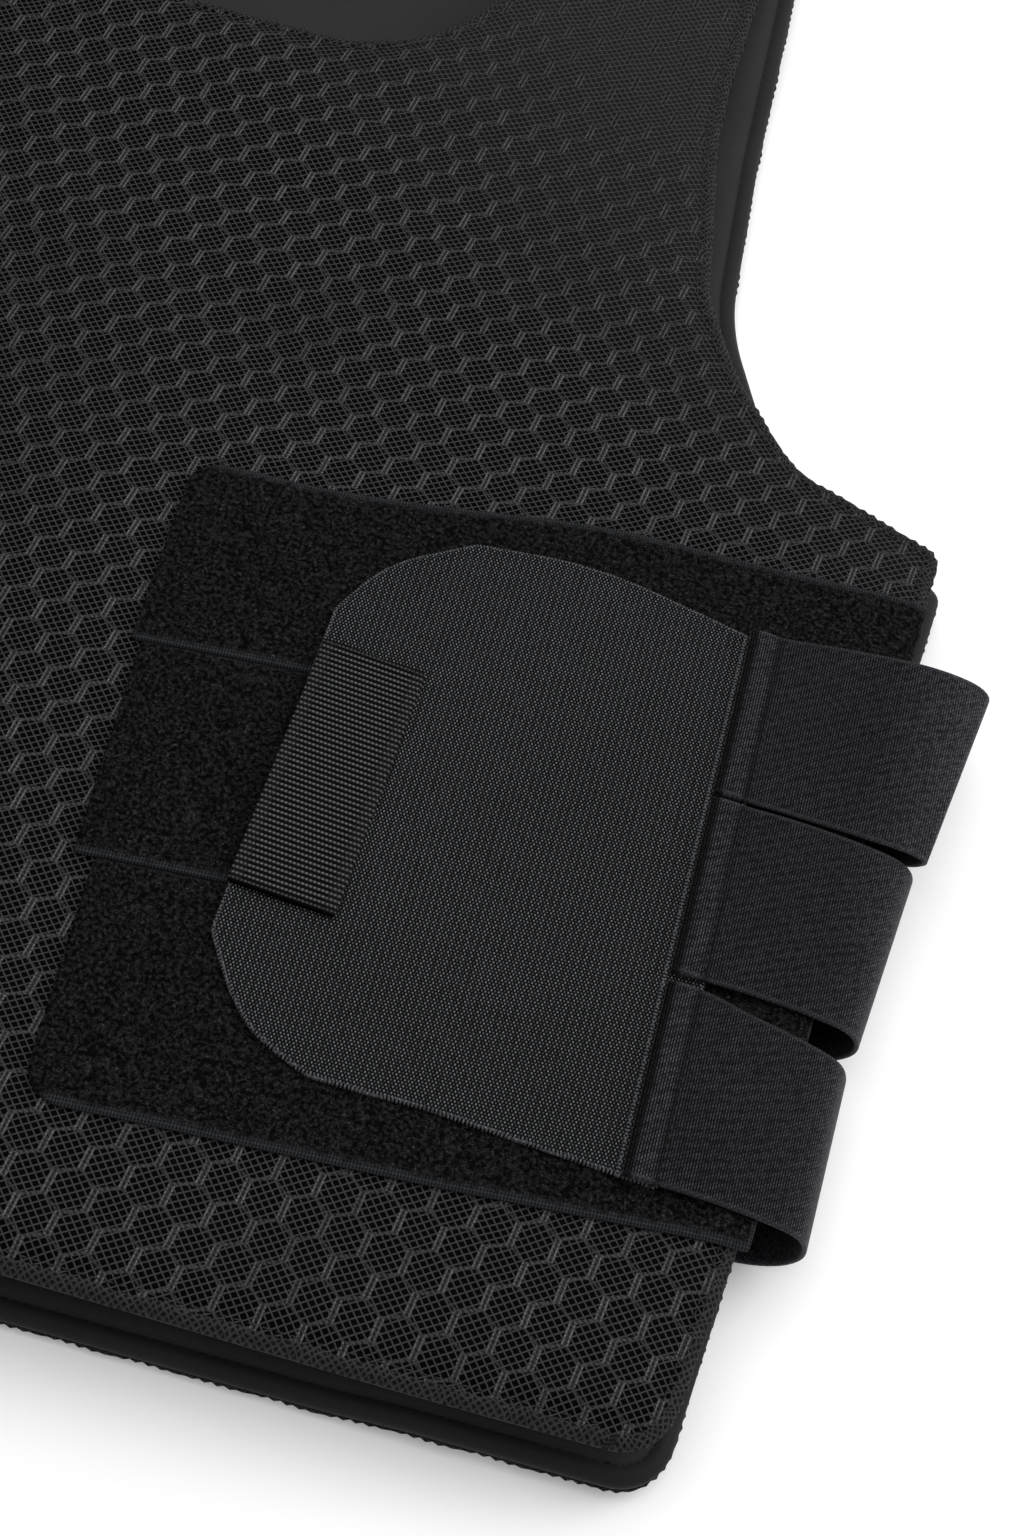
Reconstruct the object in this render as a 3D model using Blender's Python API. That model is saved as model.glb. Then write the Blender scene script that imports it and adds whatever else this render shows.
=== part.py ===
"""Stab vest, lying on its back panel with the front panel on top and both side closures done up.

+Z is up, +Y runs from the hem to the neck, and +X is the wearer's left. The origin is on the floor
under the middle of the vest. The sizes below are in millimetres, and the meshes are in metres.
"""

import math
from collections import namedtuple

import bmesh
import bpy
import numpy as np
from mathutils import Vector
from mathutils.geometry import delaunay_2d_cdt

MM = 0.001

# Whole vest
LENGTH = 520.0
HEM_Y = -LENGTH / 2
GAP = 0.4

# Layers of each panel: an outer spacer mesh over a padded pack in its lining
MESH_THICKNESS = 2.5
PACK_THICKNESS = 6.5
RIM_WIDTH = 12.0
RIM_DROP = 2.5
LINING_RIM_DROP = 2.2

# Height of the front panel's outer face under the side closures, its crown and its fall to the neck
CLOSURE_HEIGHT = 31.5
CROWN_RISE = 6.0
CROWN_HALF_WIDTH = 150.0
NECK_FALL = 7.6
FALL_START_Y = -90.0
FALL_LENGTH = 190.0

# Lift of the back panel's underside that leaves room for the ends of the straps below it
STRAP_ROOM = 2.4
SIDE_ROOM_X = 128.0
SIDE_ROOM_END_Y = 12.0
SHOULDER_ROOM_Y = 160.0
ROOM_RAMP = 24.0

# Half outlines of the panels from the hem to the neck, on the wearer's left
Corner = namedtuple("Corner", "x y radius")
FRONT_CORNERS = (
    Corner(206.0, HEM_Y + 3.4, 14.0),
    Corner(213.4, -200.0, 60.0),
    Corner(228.5, 5.2, 7.0),
    Corner(180.0, 15.6, 32.0),
    Corner(150.0, 68.5, 110.0),
    Corner(137.0, 140.0, 200.0),
    Corner(141.0, 231.0, 12.0),
    Corner(74.0, 240.0, 10.0),
    Corner(60.0, 128.0, 52.0),
)
BACK_CORNERS = (
    Corner(209.5, HEM_Y, 14.0),
    Corner(233.2, 4.0, 6.0),
    Corner(176.5, 39.5, 30.0),
    Corner(157.0, 78.0, 70.0),
    Corner(152.0, 140.0, 150.0),
    Corner(150.0, 236.0, 12.0),
    Corner(78.0, 246.0, 10.0),
    Corner(66.0, 196.0, 44.0),
)
OUTLINE_STEP = 18.0
RIM_RINGS = (5.0, RIM_WIDTH)
PANEL_CELL = 34.0
SHARP_ANGLE = math.radians(50)

# Loop strips on the front panel, from the neck end to the hem end. The edges between and beside
# them are lines that climb a little towards the side, and each strip's free end slants a little.
# The strips take a share of the drop of the panel's rim.
LOOP_THICKNESS = 1.5
LOOP_BUTT_GAP = 0.4
LOOP_RIM_SHARE = 0.8
LOOP_CORNER_RADIUS = 9.0
LOOP_INNER_X = 40.0
LOOP_SIDE_X = 226.2
LOOP_SIDE_SLOPE = 0.066
STRIP_CELL = 24.0
StripEdge = namedtuple("StripEdge", "y climb")
STRIP_EDGES = (
    StripEdge(-36.0, 0.108),
    StripEdge(-94.2, 0.110),
    StripEdge(-155.5, 0.095),
    StripEdge(-218.3, 0.080),
)
StripEnd = namedtuple("StripEnd", "top_x low_x")
STRIP_ENDS = (StripEnd(30.3, 31.6), StripEnd(34.2, 36.9), StripEnd(42.2, 45.0))

# Hook patch: its sewn edge carries the straps, and the other side of it has clipped corners
PATCH_THICKNESS = 1.4
SEWN_X = 182.0
SEWN_TOP_Y = -42.0
SEAM_ALLOWANCE = 9.0
PATCH_CORNERS = (
    Corner(SEWN_X + SEAM_ALLOWANCE, SEWN_TOP_Y - 155.2, 1.0),
    Corner(SEWN_X + SEAM_ALLOWANCE, SEWN_TOP_Y - 3.0, 1.0),
    Corner(SEWN_X - 42.0, SEWN_TOP_Y + 8.0, 90.0),
    Corner(SEWN_X - 84.5, SEWN_TOP_Y + 3.6, 30.0),
    Corner(SEWN_X - 106.0, SEWN_TOP_Y - 31.0, 8.0),
    Corner(SEWN_X - 109.5, SEWN_TOP_Y - 120.0, 8.0),
    Corner(SEWN_X - 90.0, SEWN_TOP_Y - 149.0, 24.0),
    Corner(SEWN_X - 47.0, SEWN_TOP_Y - 151.6, 60.0),
)

# Pull tab of ribbed webbing, set a little askew on the patch's free edge
TAB_THICKNESS = 1.3
TAB_WIDTH = 26.0
TAB_LENGTH = 71.0
TAB_CENTRE_X = SEWN_X - 92.0
TAB_CENTRE_Y = SEWN_TOP_Y - 75.4
TAB_TURN = math.radians(-4.0)

# Elastic side straps, from the neck end to the hem end. Each runs from the patch over the panels'
# edge, round a loop that stands out by fold_top and fold_bottom from the sewn edge, and back
# under the back panel. lift is how far its front run bows up, flare how far the loop's upper edge
# has spread, and drift how far the back run has moved towards the neck.
STRAP_THICKNESS = 1.2
BAND_THICKNESS = 2.2
BAND_WIDTH = SEAM_ALLOWANCE
BAND_END_DIP = 0.3
FLOOR_CLEARANCE = 0.3
BACK_END_X = SEWN_X - 26.0
STRAP_SIDES = 2
STRAP_STATIONS = 34
SideStrap = namedtuple(
    "SideStrap", "top bottom fold_top fold_bottom fold_height lift_top lift_bottom flare drift"
)
SIDE_STRAPS = (
    SideStrap(0.0, -50.4, 64.5, 56.2, 29.5, 5.0, 0.0, 1.5, 19.0),
    SideStrap(-52.8, -101.7, 55.0, 49.5, 20.5, 0.6, 0.4, 0.0, 4.0),
    SideStrap(-104.2, -155.0, 48.6, 47.2, 17.0, 1.0, 0.0, -5.0, 0.0),
)

# Stations round a side strap's loop. reach is a share of the fold's, and level a share of the way
# up from the fold to the front run, or from the floor to the fold in the back run. bow, flare
# and drift are shares of the strap's own.
FRONT_RUN_RISE = 1.1
LoopStation = namedtuple("LoopStation", "reach level bow flare drift")
FRONT_RUN = (
    LoopStation(0.42, 1.00, 0.6, 0.9, 0.0),
    LoopStation(0.72, 0.82, 1.0, 1.0, 0.0),
    LoopStation(0.93, 0.55, 0.4, 1.0, 0.0),
    LoopStation(1.00, 0.00, 0.0, 1.0, 0.2),
)
BACK_RUN = (
    LoopStation(0.93, 0.40, 0.0, 0.5, 0.5),
    LoopStation(0.74, 0.03, 0.0, 0.0, 0.8),
    LoopStation(0.45, 0.00, 0.0, 0.0, 1.0),
)

# Shoulder straps, which join the two panels over the shoulders. Their stations give the distance
# back from the fold and the level, from nought on the floor to one on the front panel's face.
SHOULDER_STRAP_WIDTH = 50.0
SHOULDER_STRAP_X = 108.0
SHOULDER_STRAP_REACH = 52.0
SHOULDER_STATIONS = 27
ShoulderStation = namedtuple("ShoulderStation", "back level")
SHOULDER_RUN = (
    ShoulderStation(SHOULDER_STRAP_REACH, 1.00),
    ShoulderStation(28.0, 1.00),
    ShoulderStation(12.0, 0.99),
    ShoulderStation(2.5, 0.74),
    ShoulderStation(0.0, 0.50),
    ShoulderStation(2.5, 0.26),
    ShoulderStation(12.0, 0.01),
    ShoulderStation(28.0, 0.00),
    ShoulderStation(SHOULDER_STRAP_REACH, 0.00),
)

SIDES = (("left", 1.0), ("right", -1.0))


def smooth(value):
    """Nought below 0, one above 1, and an even ramp between."""
    value = np.clip(value, 0.0, 1.0)
    return value * value * (3.0 - 2.0 * value)


def front_face(x, y):
    """Height of the front panel's outer face, away from its rim."""
    crown = CROWN_RISE * np.clip(1.0 - (x / CROWN_HALF_WIDTH) ** 2, 0.0, 1.0) ** 1.5
    return CLOSURE_HEIGHT + crown - NECK_FALL * smooth((y - FALL_START_Y) / FALL_LENGTH)


def back_face(x, y):
    """Height of the back panel's outer face, which is its underside, away from its rim."""
    beside = smooth((np.abs(x) - SIDE_ROOM_X) / ROOM_RAMP)
    beside = beside * smooth((SIDE_ROOM_END_Y - y) / ROOM_RAMP)
    above = smooth((y - SHOULDER_ROOM_Y) / ROOM_RAMP)
    return STRAP_ROOM * np.maximum(beside, above)


def rim_fall(distance):
    """How much of the rim's drop applies at this distance from the edge, from one to nought."""
    return np.clip(1.0 - distance / RIM_WIDTH, 0.0, 1.0) ** 2


def rounded_outline(corners, step):
    """Points along a closed outline whose corners are rounded to their radii."""
    arcs = []
    for index, corner in enumerate(corners):
        here = np.array((corner.x, corner.y))
        after = corners[(index + 1) % len(corners)]
        to_before = np.array(corners[index - 1][:2]) - here
        to_after = np.array(after[:2]) - here
        to_before /= np.linalg.norm(to_before)
        to_after /= np.linalg.norm(to_after)
        half_angle = math.acos(to_before @ to_after) / 2
        inward = (to_before + to_after) / np.linalg.norm(to_before + to_after)
        centre = here + inward * corner.radius / math.sin(half_angle)
        start = here + to_before * corner.radius / math.tan(half_angle) - centre
        end = here + to_after * corner.radius / math.tan(half_angle) - centre
        first = math.atan2(start[1], start[0])
        sweep = math.atan2(start[0] * end[1] - start[1] * end[0], start @ end)
        pieces = max(2, round(corner.radius * abs(sweep) / step))
        turns = first + sweep * np.linspace(0.0, 1.0, pieces + 1)
        arcs.append(centre + corner.radius * np.stack((np.cos(turns), np.sin(turns)), axis=1))
    points = []
    for arc, following in zip(arcs, arcs[1:] + arcs[:1]):
        points.extend(arc)
        run = following[0] - arc[-1]
        pieces = max(1, round(np.linalg.norm(run) / step))
        points.extend(arc[-1] + run * part / pieces for part in range(1, pieces))
    return np.array(points)


def both_halves(half):
    """The corners of a whole outline from those of its half at +X."""
    return tuple(half) + tuple(Corner(-c.x, c.y, c.radius) for c in reversed(half))


def distance_to(outline, points):
    """Distance of each point from a closed outline."""
    start = outline[None]
    run = np.roll(outline, -1, axis=0)[None] - start
    offset = points[:, None] - start
    along = np.clip((offset * run).sum(2) / (run * run).sum(2), 0.0, 1.0)
    return np.linalg.norm(offset - along[..., None] * run, axis=2).min(1)


def inside(outline, points):
    """Whether each point lies inside a closed outline."""
    start, end = outline[None], np.roll(outline, -1, axis=0)[None]
    x, y = points[:, None, 0], points[:, None, 1]
    crosses = (start[..., 1] > y) != (end[..., 1] > y)
    rise = np.where(crosses, end[..., 1] - start[..., 1], 1.0)
    at = start[..., 0] + (y - start[..., 1]) * (end[..., 0] - start[..., 0]) / rise
    return (crosses & (x < at)).sum(1) % 2 == 1


def ring_points(outline, rings):
    """Points inside a closed outline at each of these distances from its edge."""
    ahead = np.roll(outline, -1, axis=0) - np.roll(outline, 1, axis=0)
    normal = np.stack((-ahead[:, 1], ahead[:, 0]), axis=1)
    normal /= np.linalg.norm(normal, axis=1)[:, None]
    found = [np.empty((0, 2))]
    for offset in rings:
        ring = outline + normal * offset
        found.append(ring[distance_to(outline, ring) > 0.97 * offset])
    return np.concatenate(found)


def split_at_rings(outline, rim_outline, rings):
    """The outline with more points where it crosses the rings inside the rim outline."""
    depth = distance_to(rim_outline, outline)
    points = []
    for index, point in enumerate(outline):
        after = (index + 1) % len(outline)
        points.append(point)
        crossings = [
            (ring - depth[index]) / (depth[after] - depth[index])
            for ring in rings
            if (depth[index] - ring) * (depth[after] - ring) < 0
        ]
        points += [point + (outline[after] - point) * part for part in sorted(crossings)]
    return np.array(points)


def laid_out(outline, inner, cell):
    """Flat points and triangles that fill an outline, through the inner points and an even grid."""
    low, high = outline.min(0), outline.max(0)
    counts = np.maximum(1, np.round((high - low) / cell)).astype(int)
    across = low[0] + (high[0] - low[0]) * (np.arange(counts[0]) + 0.5) / counts[0]
    along = low[1] + (high[1] - low[1]) * (np.arange(counts[1]) + 0.5) / counts[1]
    grid = np.stack(np.meshgrid(across, along), axis=-1).reshape(-1, 2)
    grid = grid[inside(outline, grid)]
    grid = grid[distance_to(outline, grid) > cell / 3]
    if len(inner):
        apart = np.linalg.norm(grid[:, None] - inner[None], axis=2).min(1)
        grid = grid[apart > cell / 3]
    flat = [Vector(point) for point in np.concatenate((outline, inner, grid))]
    edges = [(i, (i + 1) % len(outline)) for i in range(len(outline))]
    found, _, triangles, *_ = delaunay_2d_cdt(flat, edges, [], 1, 1e-4)
    return np.array(found), [tuple(triangle) for triangle in triangles]


def material_of(name, colour, roughness):
    made = bpy.data.materials.new(name)
    made.use_nodes = True
    made.diffuse_color = (*colour, 1.0)
    shader = made.node_tree.nodes["Principled BSDF"]
    shader.inputs["Base Color"].default_value = (*colour, 1.0)
    shader.inputs["Roughness"].default_value = roughness
    shader.inputs["Metallic"].default_value = 0.0
    return made


MATERIALS = {
    "mesh": material_of("spacer_mesh", (0.030, 0.031, 0.030), 0.75),
    "lining": material_of("panel_lining", (0.012, 0.012, 0.013), 0.70),
    "loop": material_of("loop_pile", (0.009, 0.009, 0.010), 0.95),
    "patch": material_of("hook_patch_weave", (0.040, 0.041, 0.043), 0.80),
    "webbing": material_of("ribbed_webbing", (0.030, 0.031, 0.031), 0.60),
    "elastic": material_of("knitted_elastic", (0.014, 0.013, 0.017), 0.80),
}


def solid(name, points, faces, material):
    """An object from points in millimetres and faces that close its surface."""
    mesh = bpy.data.meshes.new(name)
    mesh.from_pydata([tuple(point) for point in np.asarray(points) * MM], [], faces)
    work = bmesh.new()
    work.from_mesh(mesh)
    bmesh.ops.recalc_face_normals(work, faces=work.faces)
    work.to_mesh(mesh)
    work.free()
    mesh.shade_smooth()
    mesh.set_sharp_from_angle(angle=SHARP_ANGLE)
    mesh.materials.append(MATERIALS[material])
    made = bpy.data.objects.new(name, mesh)
    bpy.context.scene.collection.objects.link(made)


def sheet_solid(name, outline, heights, material, inner, cell):
    """A sheet over a flat outline, between the low and high faces that heights() gives."""
    flat, triangles = laid_out(outline, inner, cell)
    low, high = heights(flat)
    count = len(flat)
    points = np.concatenate((np.column_stack((flat, low)), np.column_stack((flat, high))))
    faces = [tuple(reversed(triangle)) for triangle in triangles]
    faces += [tuple(count + i for i in triangle) for triangle in triangles]
    sides = {(a, b) for t in triangles for a, b in zip(t, t[1:] + t[:1])}
    for a, b in sides:
        if (b, a) not in sides:
            faces += [(a, b, count + b), (a, count + b, count + a)]
    solid(name, points, faces, material)


def make_panels(front_outline, back_outline):
    """The front and back panels: a padded pack in its lining, and the mesh over its outer face."""

    def front_mesh(flat):
        high = front_face(*flat.T) - RIM_DROP * rim_fall(distance_to(front_outline, flat))
        return high - MESH_THICKNESS, high

    def front_pack(flat):
        rim = rim_fall(distance_to(front_outline, flat))
        high = front_face(*flat.T) - MESH_THICKNESS - GAP
        return high - PACK_THICKNESS + LINING_RIM_DROP * rim, high - RIM_DROP * rim

    def back_mesh(flat):
        low = back_face(*flat.T) + RIM_DROP * rim_fall(distance_to(back_outline, flat))
        return low, low + MESH_THICKNESS

    def back_pack(flat):
        rim = rim_fall(distance_to(back_outline, flat))
        low = back_face(*flat.T) + MESH_THICKNESS + GAP
        return low + RIM_DROP * rim, low + PACK_THICKNESS - LINING_RIM_DROP * rim

    front_rings = ring_points(front_outline, RIM_RINGS)
    back_rings = ring_points(back_outline, RIM_RINGS)
    sheet_solid("front_mesh", front_outline, front_mesh, "mesh", front_rings, PANEL_CELL)
    sheet_solid("front_panel", front_outline, front_pack, "lining", front_rings, PANEL_CELL)
    sheet_solid("back_mesh", back_outline, back_mesh, "mesh", back_rings, PANEL_CELL)
    sheet_solid("back_panel", back_outline, back_pack, "lining", back_rings, PANEL_CELL)


def strip_outline(index):
    """Outline of a loop strip, counted from the neck end, as it lies on the wearer's left."""
    above, below = STRIP_EDGES[index], STRIP_EDGES[index + 1]
    end = STRIP_ENDS[index]
    last = len(STRIP_ENDS) - 1
    top_gap, top_radius = (LOOP_BUTT_GAP / 2, 1.0) if index > 0 else (0.0, LOOP_CORNER_RADIUS)
    low_gap, low_radius = (LOOP_BUTT_GAP / 2, 1.0) if index < last else (0.0, LOOP_CORNER_RADIUS)

    def corner(edge, x, gap, radius):
        return Corner(x, edge.y + edge.climb * (x - LOOP_INNER_X) + gap, radius)

    def side_x(edge):
        return LOOP_SIDE_X + LOOP_SIDE_SLOPE * edge.y

    corners = (
        corner(below, end.low_x, low_gap, low_radius),
        corner(below, side_x(below), low_gap, 1.0),
        corner(above, side_x(above), -top_gap, 1.0),
        corner(above, end.top_x, -top_gap, top_radius),
    )
    return rounded_outline(corners, STRIP_CELL)


def make_closure(side, sign, front_outline):
    """The loop strips, the hook patch and its pull tab on one side of the front panel."""

    def on_front(base, thickness):
        def heights(flat):
            rim = RIM_DROP * rim_fall(distance_to(front_outline, flat))
            low = front_face(*flat.T) - LOOP_RIM_SHARE * rim + base
            return low, low + thickness

        return heights

    def laid_sheet(name, outline, base, thickness, material):
        """A sheet on the front panel, from its outline on the wearer's left."""
        outline = split_at_rings(outline, front_outline, RIM_RINGS)
        rim = ring_points(front_outline, RIM_RINGS)
        rim = rim[inside(outline, rim)]
        rim = rim[distance_to(outline, rim) > RIM_RINGS[0] / 2]
        flip = (sign, 1.0)
        order = slice(None, None, int(sign))
        heights = on_front(base, thickness)
        sheet_solid(name, (outline * flip)[order], heights, material, rim * flip, STRIP_CELL)

    for index in range(len(STRIP_ENDS)):
        outline = strip_outline(index)
        laid_sheet(f"loop_strip_{side}_{index + 1}", outline, GAP, LOOP_THICKNESS, "loop")
    patch_base = GAP + LOOP_THICKNESS + GAP
    outline = rounded_outline(PATCH_CORNERS, OUTLINE_STEP / 2)
    laid_sheet(f"hook_patch_{side}", outline, patch_base, PATCH_THICKNESS, "patch")
    half = np.array(((-1, -1), (1, -1), (1, 1), (-1, 1))) * (TAB_WIDTH / 2, TAB_LENGTH / 2)
    cosine, sine = math.cos(TAB_TURN), math.sin(TAB_TURN)
    places = half @ ((cosine, sine), (-sine, cosine)) + (TAB_CENTRE_X, TAB_CENTRE_Y)
    outline = rounded_outline([Corner(*place, 0.8) for place in places], STRIP_CELL)
    tab_base = patch_base + PATCH_THICKNESS + GAP
    laid_sheet(f"pull_tab_{side}", outline, tab_base, TAB_THICKNESS, "webbing")


def smooth_path(controls, count):
    """Points evenly spaced along a Catmull-Rom curve through the controls."""
    controls = np.asarray(controls, float)
    padded = np.vstack((2 * controls[0] - controls[1], controls, 2 * controls[-1] - controls[-2]))
    fine = []
    for index in range(len(controls) - 1):
        p0, p1, p2, p3 = padded[index : index + 4]
        for t in np.linspace(0.0, 1.0, 24, endpoint=False):
            fine.append(
                0.5
                * (
                    2 * p1
                    + (p2 - p0) * t
                    + (2 * p0 - 5 * p1 + 4 * p2 - p3) * t**2
                    + (3 * p1 - p0 - 3 * p2 + p3) * t**3
                )
            )
    fine = np.array(fine + [controls[-1]])
    length = np.concatenate(((0.0,), np.cumsum(np.linalg.norm(np.diff(fine, axis=0), axis=1))))
    wanted = np.linspace(0.0, length[-1], count)
    return np.stack([np.interp(wanted, length, column) for column in fine.T], axis=1)


def band_solid(name, middles, thicknesses, material, flip):
    """A band from rows of points along its middle surface: rows run across it, columns along it."""
    middles = np.asarray(middles)
    ahead = np.gradient(middles, axis=1)
    across = np.gradient(middles, axis=0)
    normal = np.cross(ahead, across)
    normal /= np.linalg.norm(normal, axis=2)[..., None]
    offset = normal * np.asarray(thicknesses)[None, :, None] / 2
    rows, columns = middles.shape[:2]
    points = np.concatenate(((middles + offset).reshape(-1, 3), (middles - offset).reshape(-1, 3)))
    below = rows * columns
    faces = []

    def quad(a, b, c, d):
        faces.extend(((a, b, c), (a, c, d)))

    for row in range(rows - 1):
        for column in range(columns - 1):
            a = row * columns + column
            quad(a, a + 1, a + columns + 1, a + columns)
            quad(below + a, below + a + columns, below + a + columns + 1, below + a + 1)
    for column in range(columns - 1):
        first, last = column, (rows - 1) * columns + column
        quad(first, below + first, below + first + 1, first + 1)
        quad(last, last + 1, below + last + 1, below + last)
    for row in range(rows - 1):
        first, last = row * columns, row * columns + columns - 1
        quad(first, first + columns, below + first + columns, below + first)
        quad(last, below + last, below + last + columns, last + columns)
    if flip:
        points = points * (-1.0, 1.0, 1.0)
    solid(name, points, faces, material)


def side_strap_rows(strap):
    """Middle surface of a side strap on the wearer's left, in rows from its top to its bottom edge."""
    loop_top = GAP + LOOP_THICKNESS
    patch_top = loop_top + GAP + PATCH_THICKNESS
    floor = FLOOR_CLEARANCE + STRAP_THICKNESS / 2
    rows = []
    for row in range(STRAP_SIDES + 1):
        part = row / STRAP_SIDES
        y = SEWN_TOP_Y + strap.top + (strap.bottom - strap.top) * part
        fold = strap.fold_top + (strap.fold_bottom - strap.fold_top) * part
        lift = strap.lift_top + (strap.lift_bottom - strap.lift_top) * part
        flare = strap.flare * (1.0 - part)
        face = front_face(SEWN_X, y)
        on_patch = face + patch_top + GAP + BAND_THICKNESS / 2
        front_run = face + loop_top + GAP + STRAP_THICKNESS / 2 + FRONT_RUN_RISE

        def station_at(station, base, height):
            return (
                SEWN_X + station.reach * fold,
                y + station.flare * flare + station.drift * strap.drift,
                base + station.level * height + station.bow * lift,
            )

        over = front_run - strap.fold_height
        under = strap.fold_height - floor
        controls = [(SEWN_X, y, on_patch), (SEWN_X + BAND_WIDTH, y, on_patch - BAND_END_DIP)]
        controls += [station_at(station, strap.fold_height, over) for station in FRONT_RUN]
        controls += [station_at(station, floor, under) for station in BACK_RUN]
        controls.append((BACK_END_X, y + strap.drift, floor))
        rows.append(smooth_path(controls, STRAP_STATIONS))
    return np.array(rows)


def make_side_straps(side, sign):
    for index, strap in enumerate(SIDE_STRAPS):
        rows = side_strap_rows(strap)
        doubled = rows[0, :, 0] < SEWN_X + BAND_WIDTH
        doubled &= np.arange(STRAP_STATIONS) < STRAP_STATIONS / 2
        thicknesses = np.where(doubled, BAND_THICKNESS, STRAP_THICKNESS)
        band_solid(f"side_strap_{side}_{index + 1}", rows, thicknesses, "elastic", sign < 0)


def make_shoulder_strap(side, sign):
    """A strap over the shoulder, from the front panel's face to the back panel's underside."""
    rows = []
    floor = FLOOR_CLEARANCE + STRAP_THICKNESS / 2
    fold_y = (LENGTH - STRAP_THICKNESS) / 2
    for part in (-0.5, 0.0, 0.5):
        x = SHOULDER_STRAP_X + part * SHOULDER_STRAP_WIDTH
        face = front_face(x, fold_y - SHOULDER_STRAP_REACH) + GAP + STRAP_THICKNESS / 2
        controls = [(x, fold_y - s.back, floor + s.level * (face - floor)) for s in SHOULDER_RUN]
        rows.append(smooth_path(controls, SHOULDER_STATIONS))
    thicknesses = np.full(SHOULDER_STATIONS, STRAP_THICKNESS)
    band_solid(f"shoulder_strap_{side}", rows, thicknesses, "elastic", sign < 0)


def main():
    for leftover in list(bpy.data.objects):
        bpy.data.objects.remove(leftover, do_unlink=True)
    front_outline = rounded_outline(both_halves(FRONT_CORNERS), OUTLINE_STEP)
    back_outline = rounded_outline(both_halves(BACK_CORNERS), OUTLINE_STEP)
    make_panels(front_outline, back_outline)
    for side, sign in SIDES:
        make_closure(side, sign, front_outline)
        make_side_straps(side, sign)
        make_shoulder_strap(side, sign)


main()
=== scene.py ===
"""Looks of the stab vest: spacer mesh, padded packs, loop tape, hook patches, webbing, elastic.

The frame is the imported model's: +Z is up, +Y runs from the hem to the neck, and +X is the wearer's
left. The sizes below are in millimetres, and the meshes are in metres.
"""

import math
from collections import namedtuple
from functools import reduce

import bpy
import numpy as np
from mathutils import Matrix, Vector
from mathutils.geometry import delaunay_2d_cdt
from mathutils.kdtree import KDTree


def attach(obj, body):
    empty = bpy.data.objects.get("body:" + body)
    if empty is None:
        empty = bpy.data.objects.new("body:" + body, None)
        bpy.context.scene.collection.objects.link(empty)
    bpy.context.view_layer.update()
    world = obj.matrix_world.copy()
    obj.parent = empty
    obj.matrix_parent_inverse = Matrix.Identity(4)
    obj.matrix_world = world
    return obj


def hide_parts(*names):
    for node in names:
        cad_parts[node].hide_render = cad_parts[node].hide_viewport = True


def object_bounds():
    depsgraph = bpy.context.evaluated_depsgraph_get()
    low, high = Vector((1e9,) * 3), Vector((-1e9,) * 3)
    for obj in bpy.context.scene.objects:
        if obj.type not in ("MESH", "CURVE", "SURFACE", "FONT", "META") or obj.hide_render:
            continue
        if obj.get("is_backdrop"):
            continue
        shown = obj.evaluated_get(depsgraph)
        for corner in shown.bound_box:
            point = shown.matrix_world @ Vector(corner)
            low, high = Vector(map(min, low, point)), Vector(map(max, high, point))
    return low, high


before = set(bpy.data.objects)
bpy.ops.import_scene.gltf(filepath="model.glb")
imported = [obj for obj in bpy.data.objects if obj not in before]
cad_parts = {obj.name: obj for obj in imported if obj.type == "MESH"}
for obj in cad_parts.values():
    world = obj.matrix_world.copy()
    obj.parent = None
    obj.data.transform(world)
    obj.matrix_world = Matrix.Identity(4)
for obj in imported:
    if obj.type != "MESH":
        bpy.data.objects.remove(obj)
cad_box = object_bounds()

MM = 0.001
SIDES = (("left", 1.0), ("right", -1.0))
UP = np.array((0.0, 0.0, 1.0))
ROOT_3 = math.sqrt(3.0)

# Whole vest
LENGTH = 520.0
HEM_Y = -LENGTH / 2
GAP = 0.4

# Layers of each panel: an outer spacer mesh over a padded pack in its lining
MESH_THICKNESS = 2.5
PACK_THICKNESS = 6.5
RIM_WIDTH = 12.0
RIM_DROP = 2.5
LINING_RIM_DROP = 2.2
LINING_SEAM = 4.8

# Height of the front panel's outer face under the side closures, its crown and its fall to the neck
CLOSURE_HEIGHT = 31.5
CROWN_RISE = 6.0
CROWN_HALF_WIDTH = 150.0
NECK_FALL = 7.6
FALL_START_Y = -90.0
FALL_LENGTH = 190.0

# Lift of the back panel's underside that leaves room for the ends of the straps below it
STRAP_ROOM = 2.4
SIDE_ROOM_X = 128.0
SIDE_ROOM_END_Y = 12.0
SHOULDER_ROOM_Y = 160.0
ROOM_RAMP = 24.0

Corner = namedtuple("Corner", "x y radius")


def corners(*rows, from_x=0.0, from_y=0.0):
    """Corners of an outline, from rows of x, y and radius."""
    return tuple(Corner(from_x + x, from_y + y, radius) for x, y, radius in rows)


# Half outlines of the panels from the hem to the neck, on the wearer's left
FRONT_CORNERS = corners(
    (206.0, HEM_Y + 3.4, 14.0), (213.4, -200.0, 60.0), (228.5, 4.6, 7.0),
    (184.2, 20.6, 32.0), (164.0, 46.2, 60.0), (149.8, 72.0, 60.0),
    (138.5, 140.0, 200.0), (141.0, 231.0, 12.0), (74.0, 240.0, 10.0),
    (60.0, 128.0, 52.0),
)
BACK_CORNERS = corners(
    (209.5, HEM_Y, 14.0), (233.2, 4.0, 6.0), (176.5, 39.5, 30.0),
    (157.8, 78.0, 70.0), (153.5, 140.0, 150.0), (150.0, 236.0, 12.0),
    (78.0, 246.0, 10.0), (66.0, 196.0, 44.0),
)

# Rolled and stitched edge of the spacer mesh
ROLL_WIDTH = 4.6
ROLL_CREST = 2.2
ROLL_RISE = 0.6
ROLL_FALL = 1.3
GROOVE_DEPTH = 0.5
EDGE_BUMP_PITCH = 3.3
EDGE_BUMP = 0.3

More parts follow.
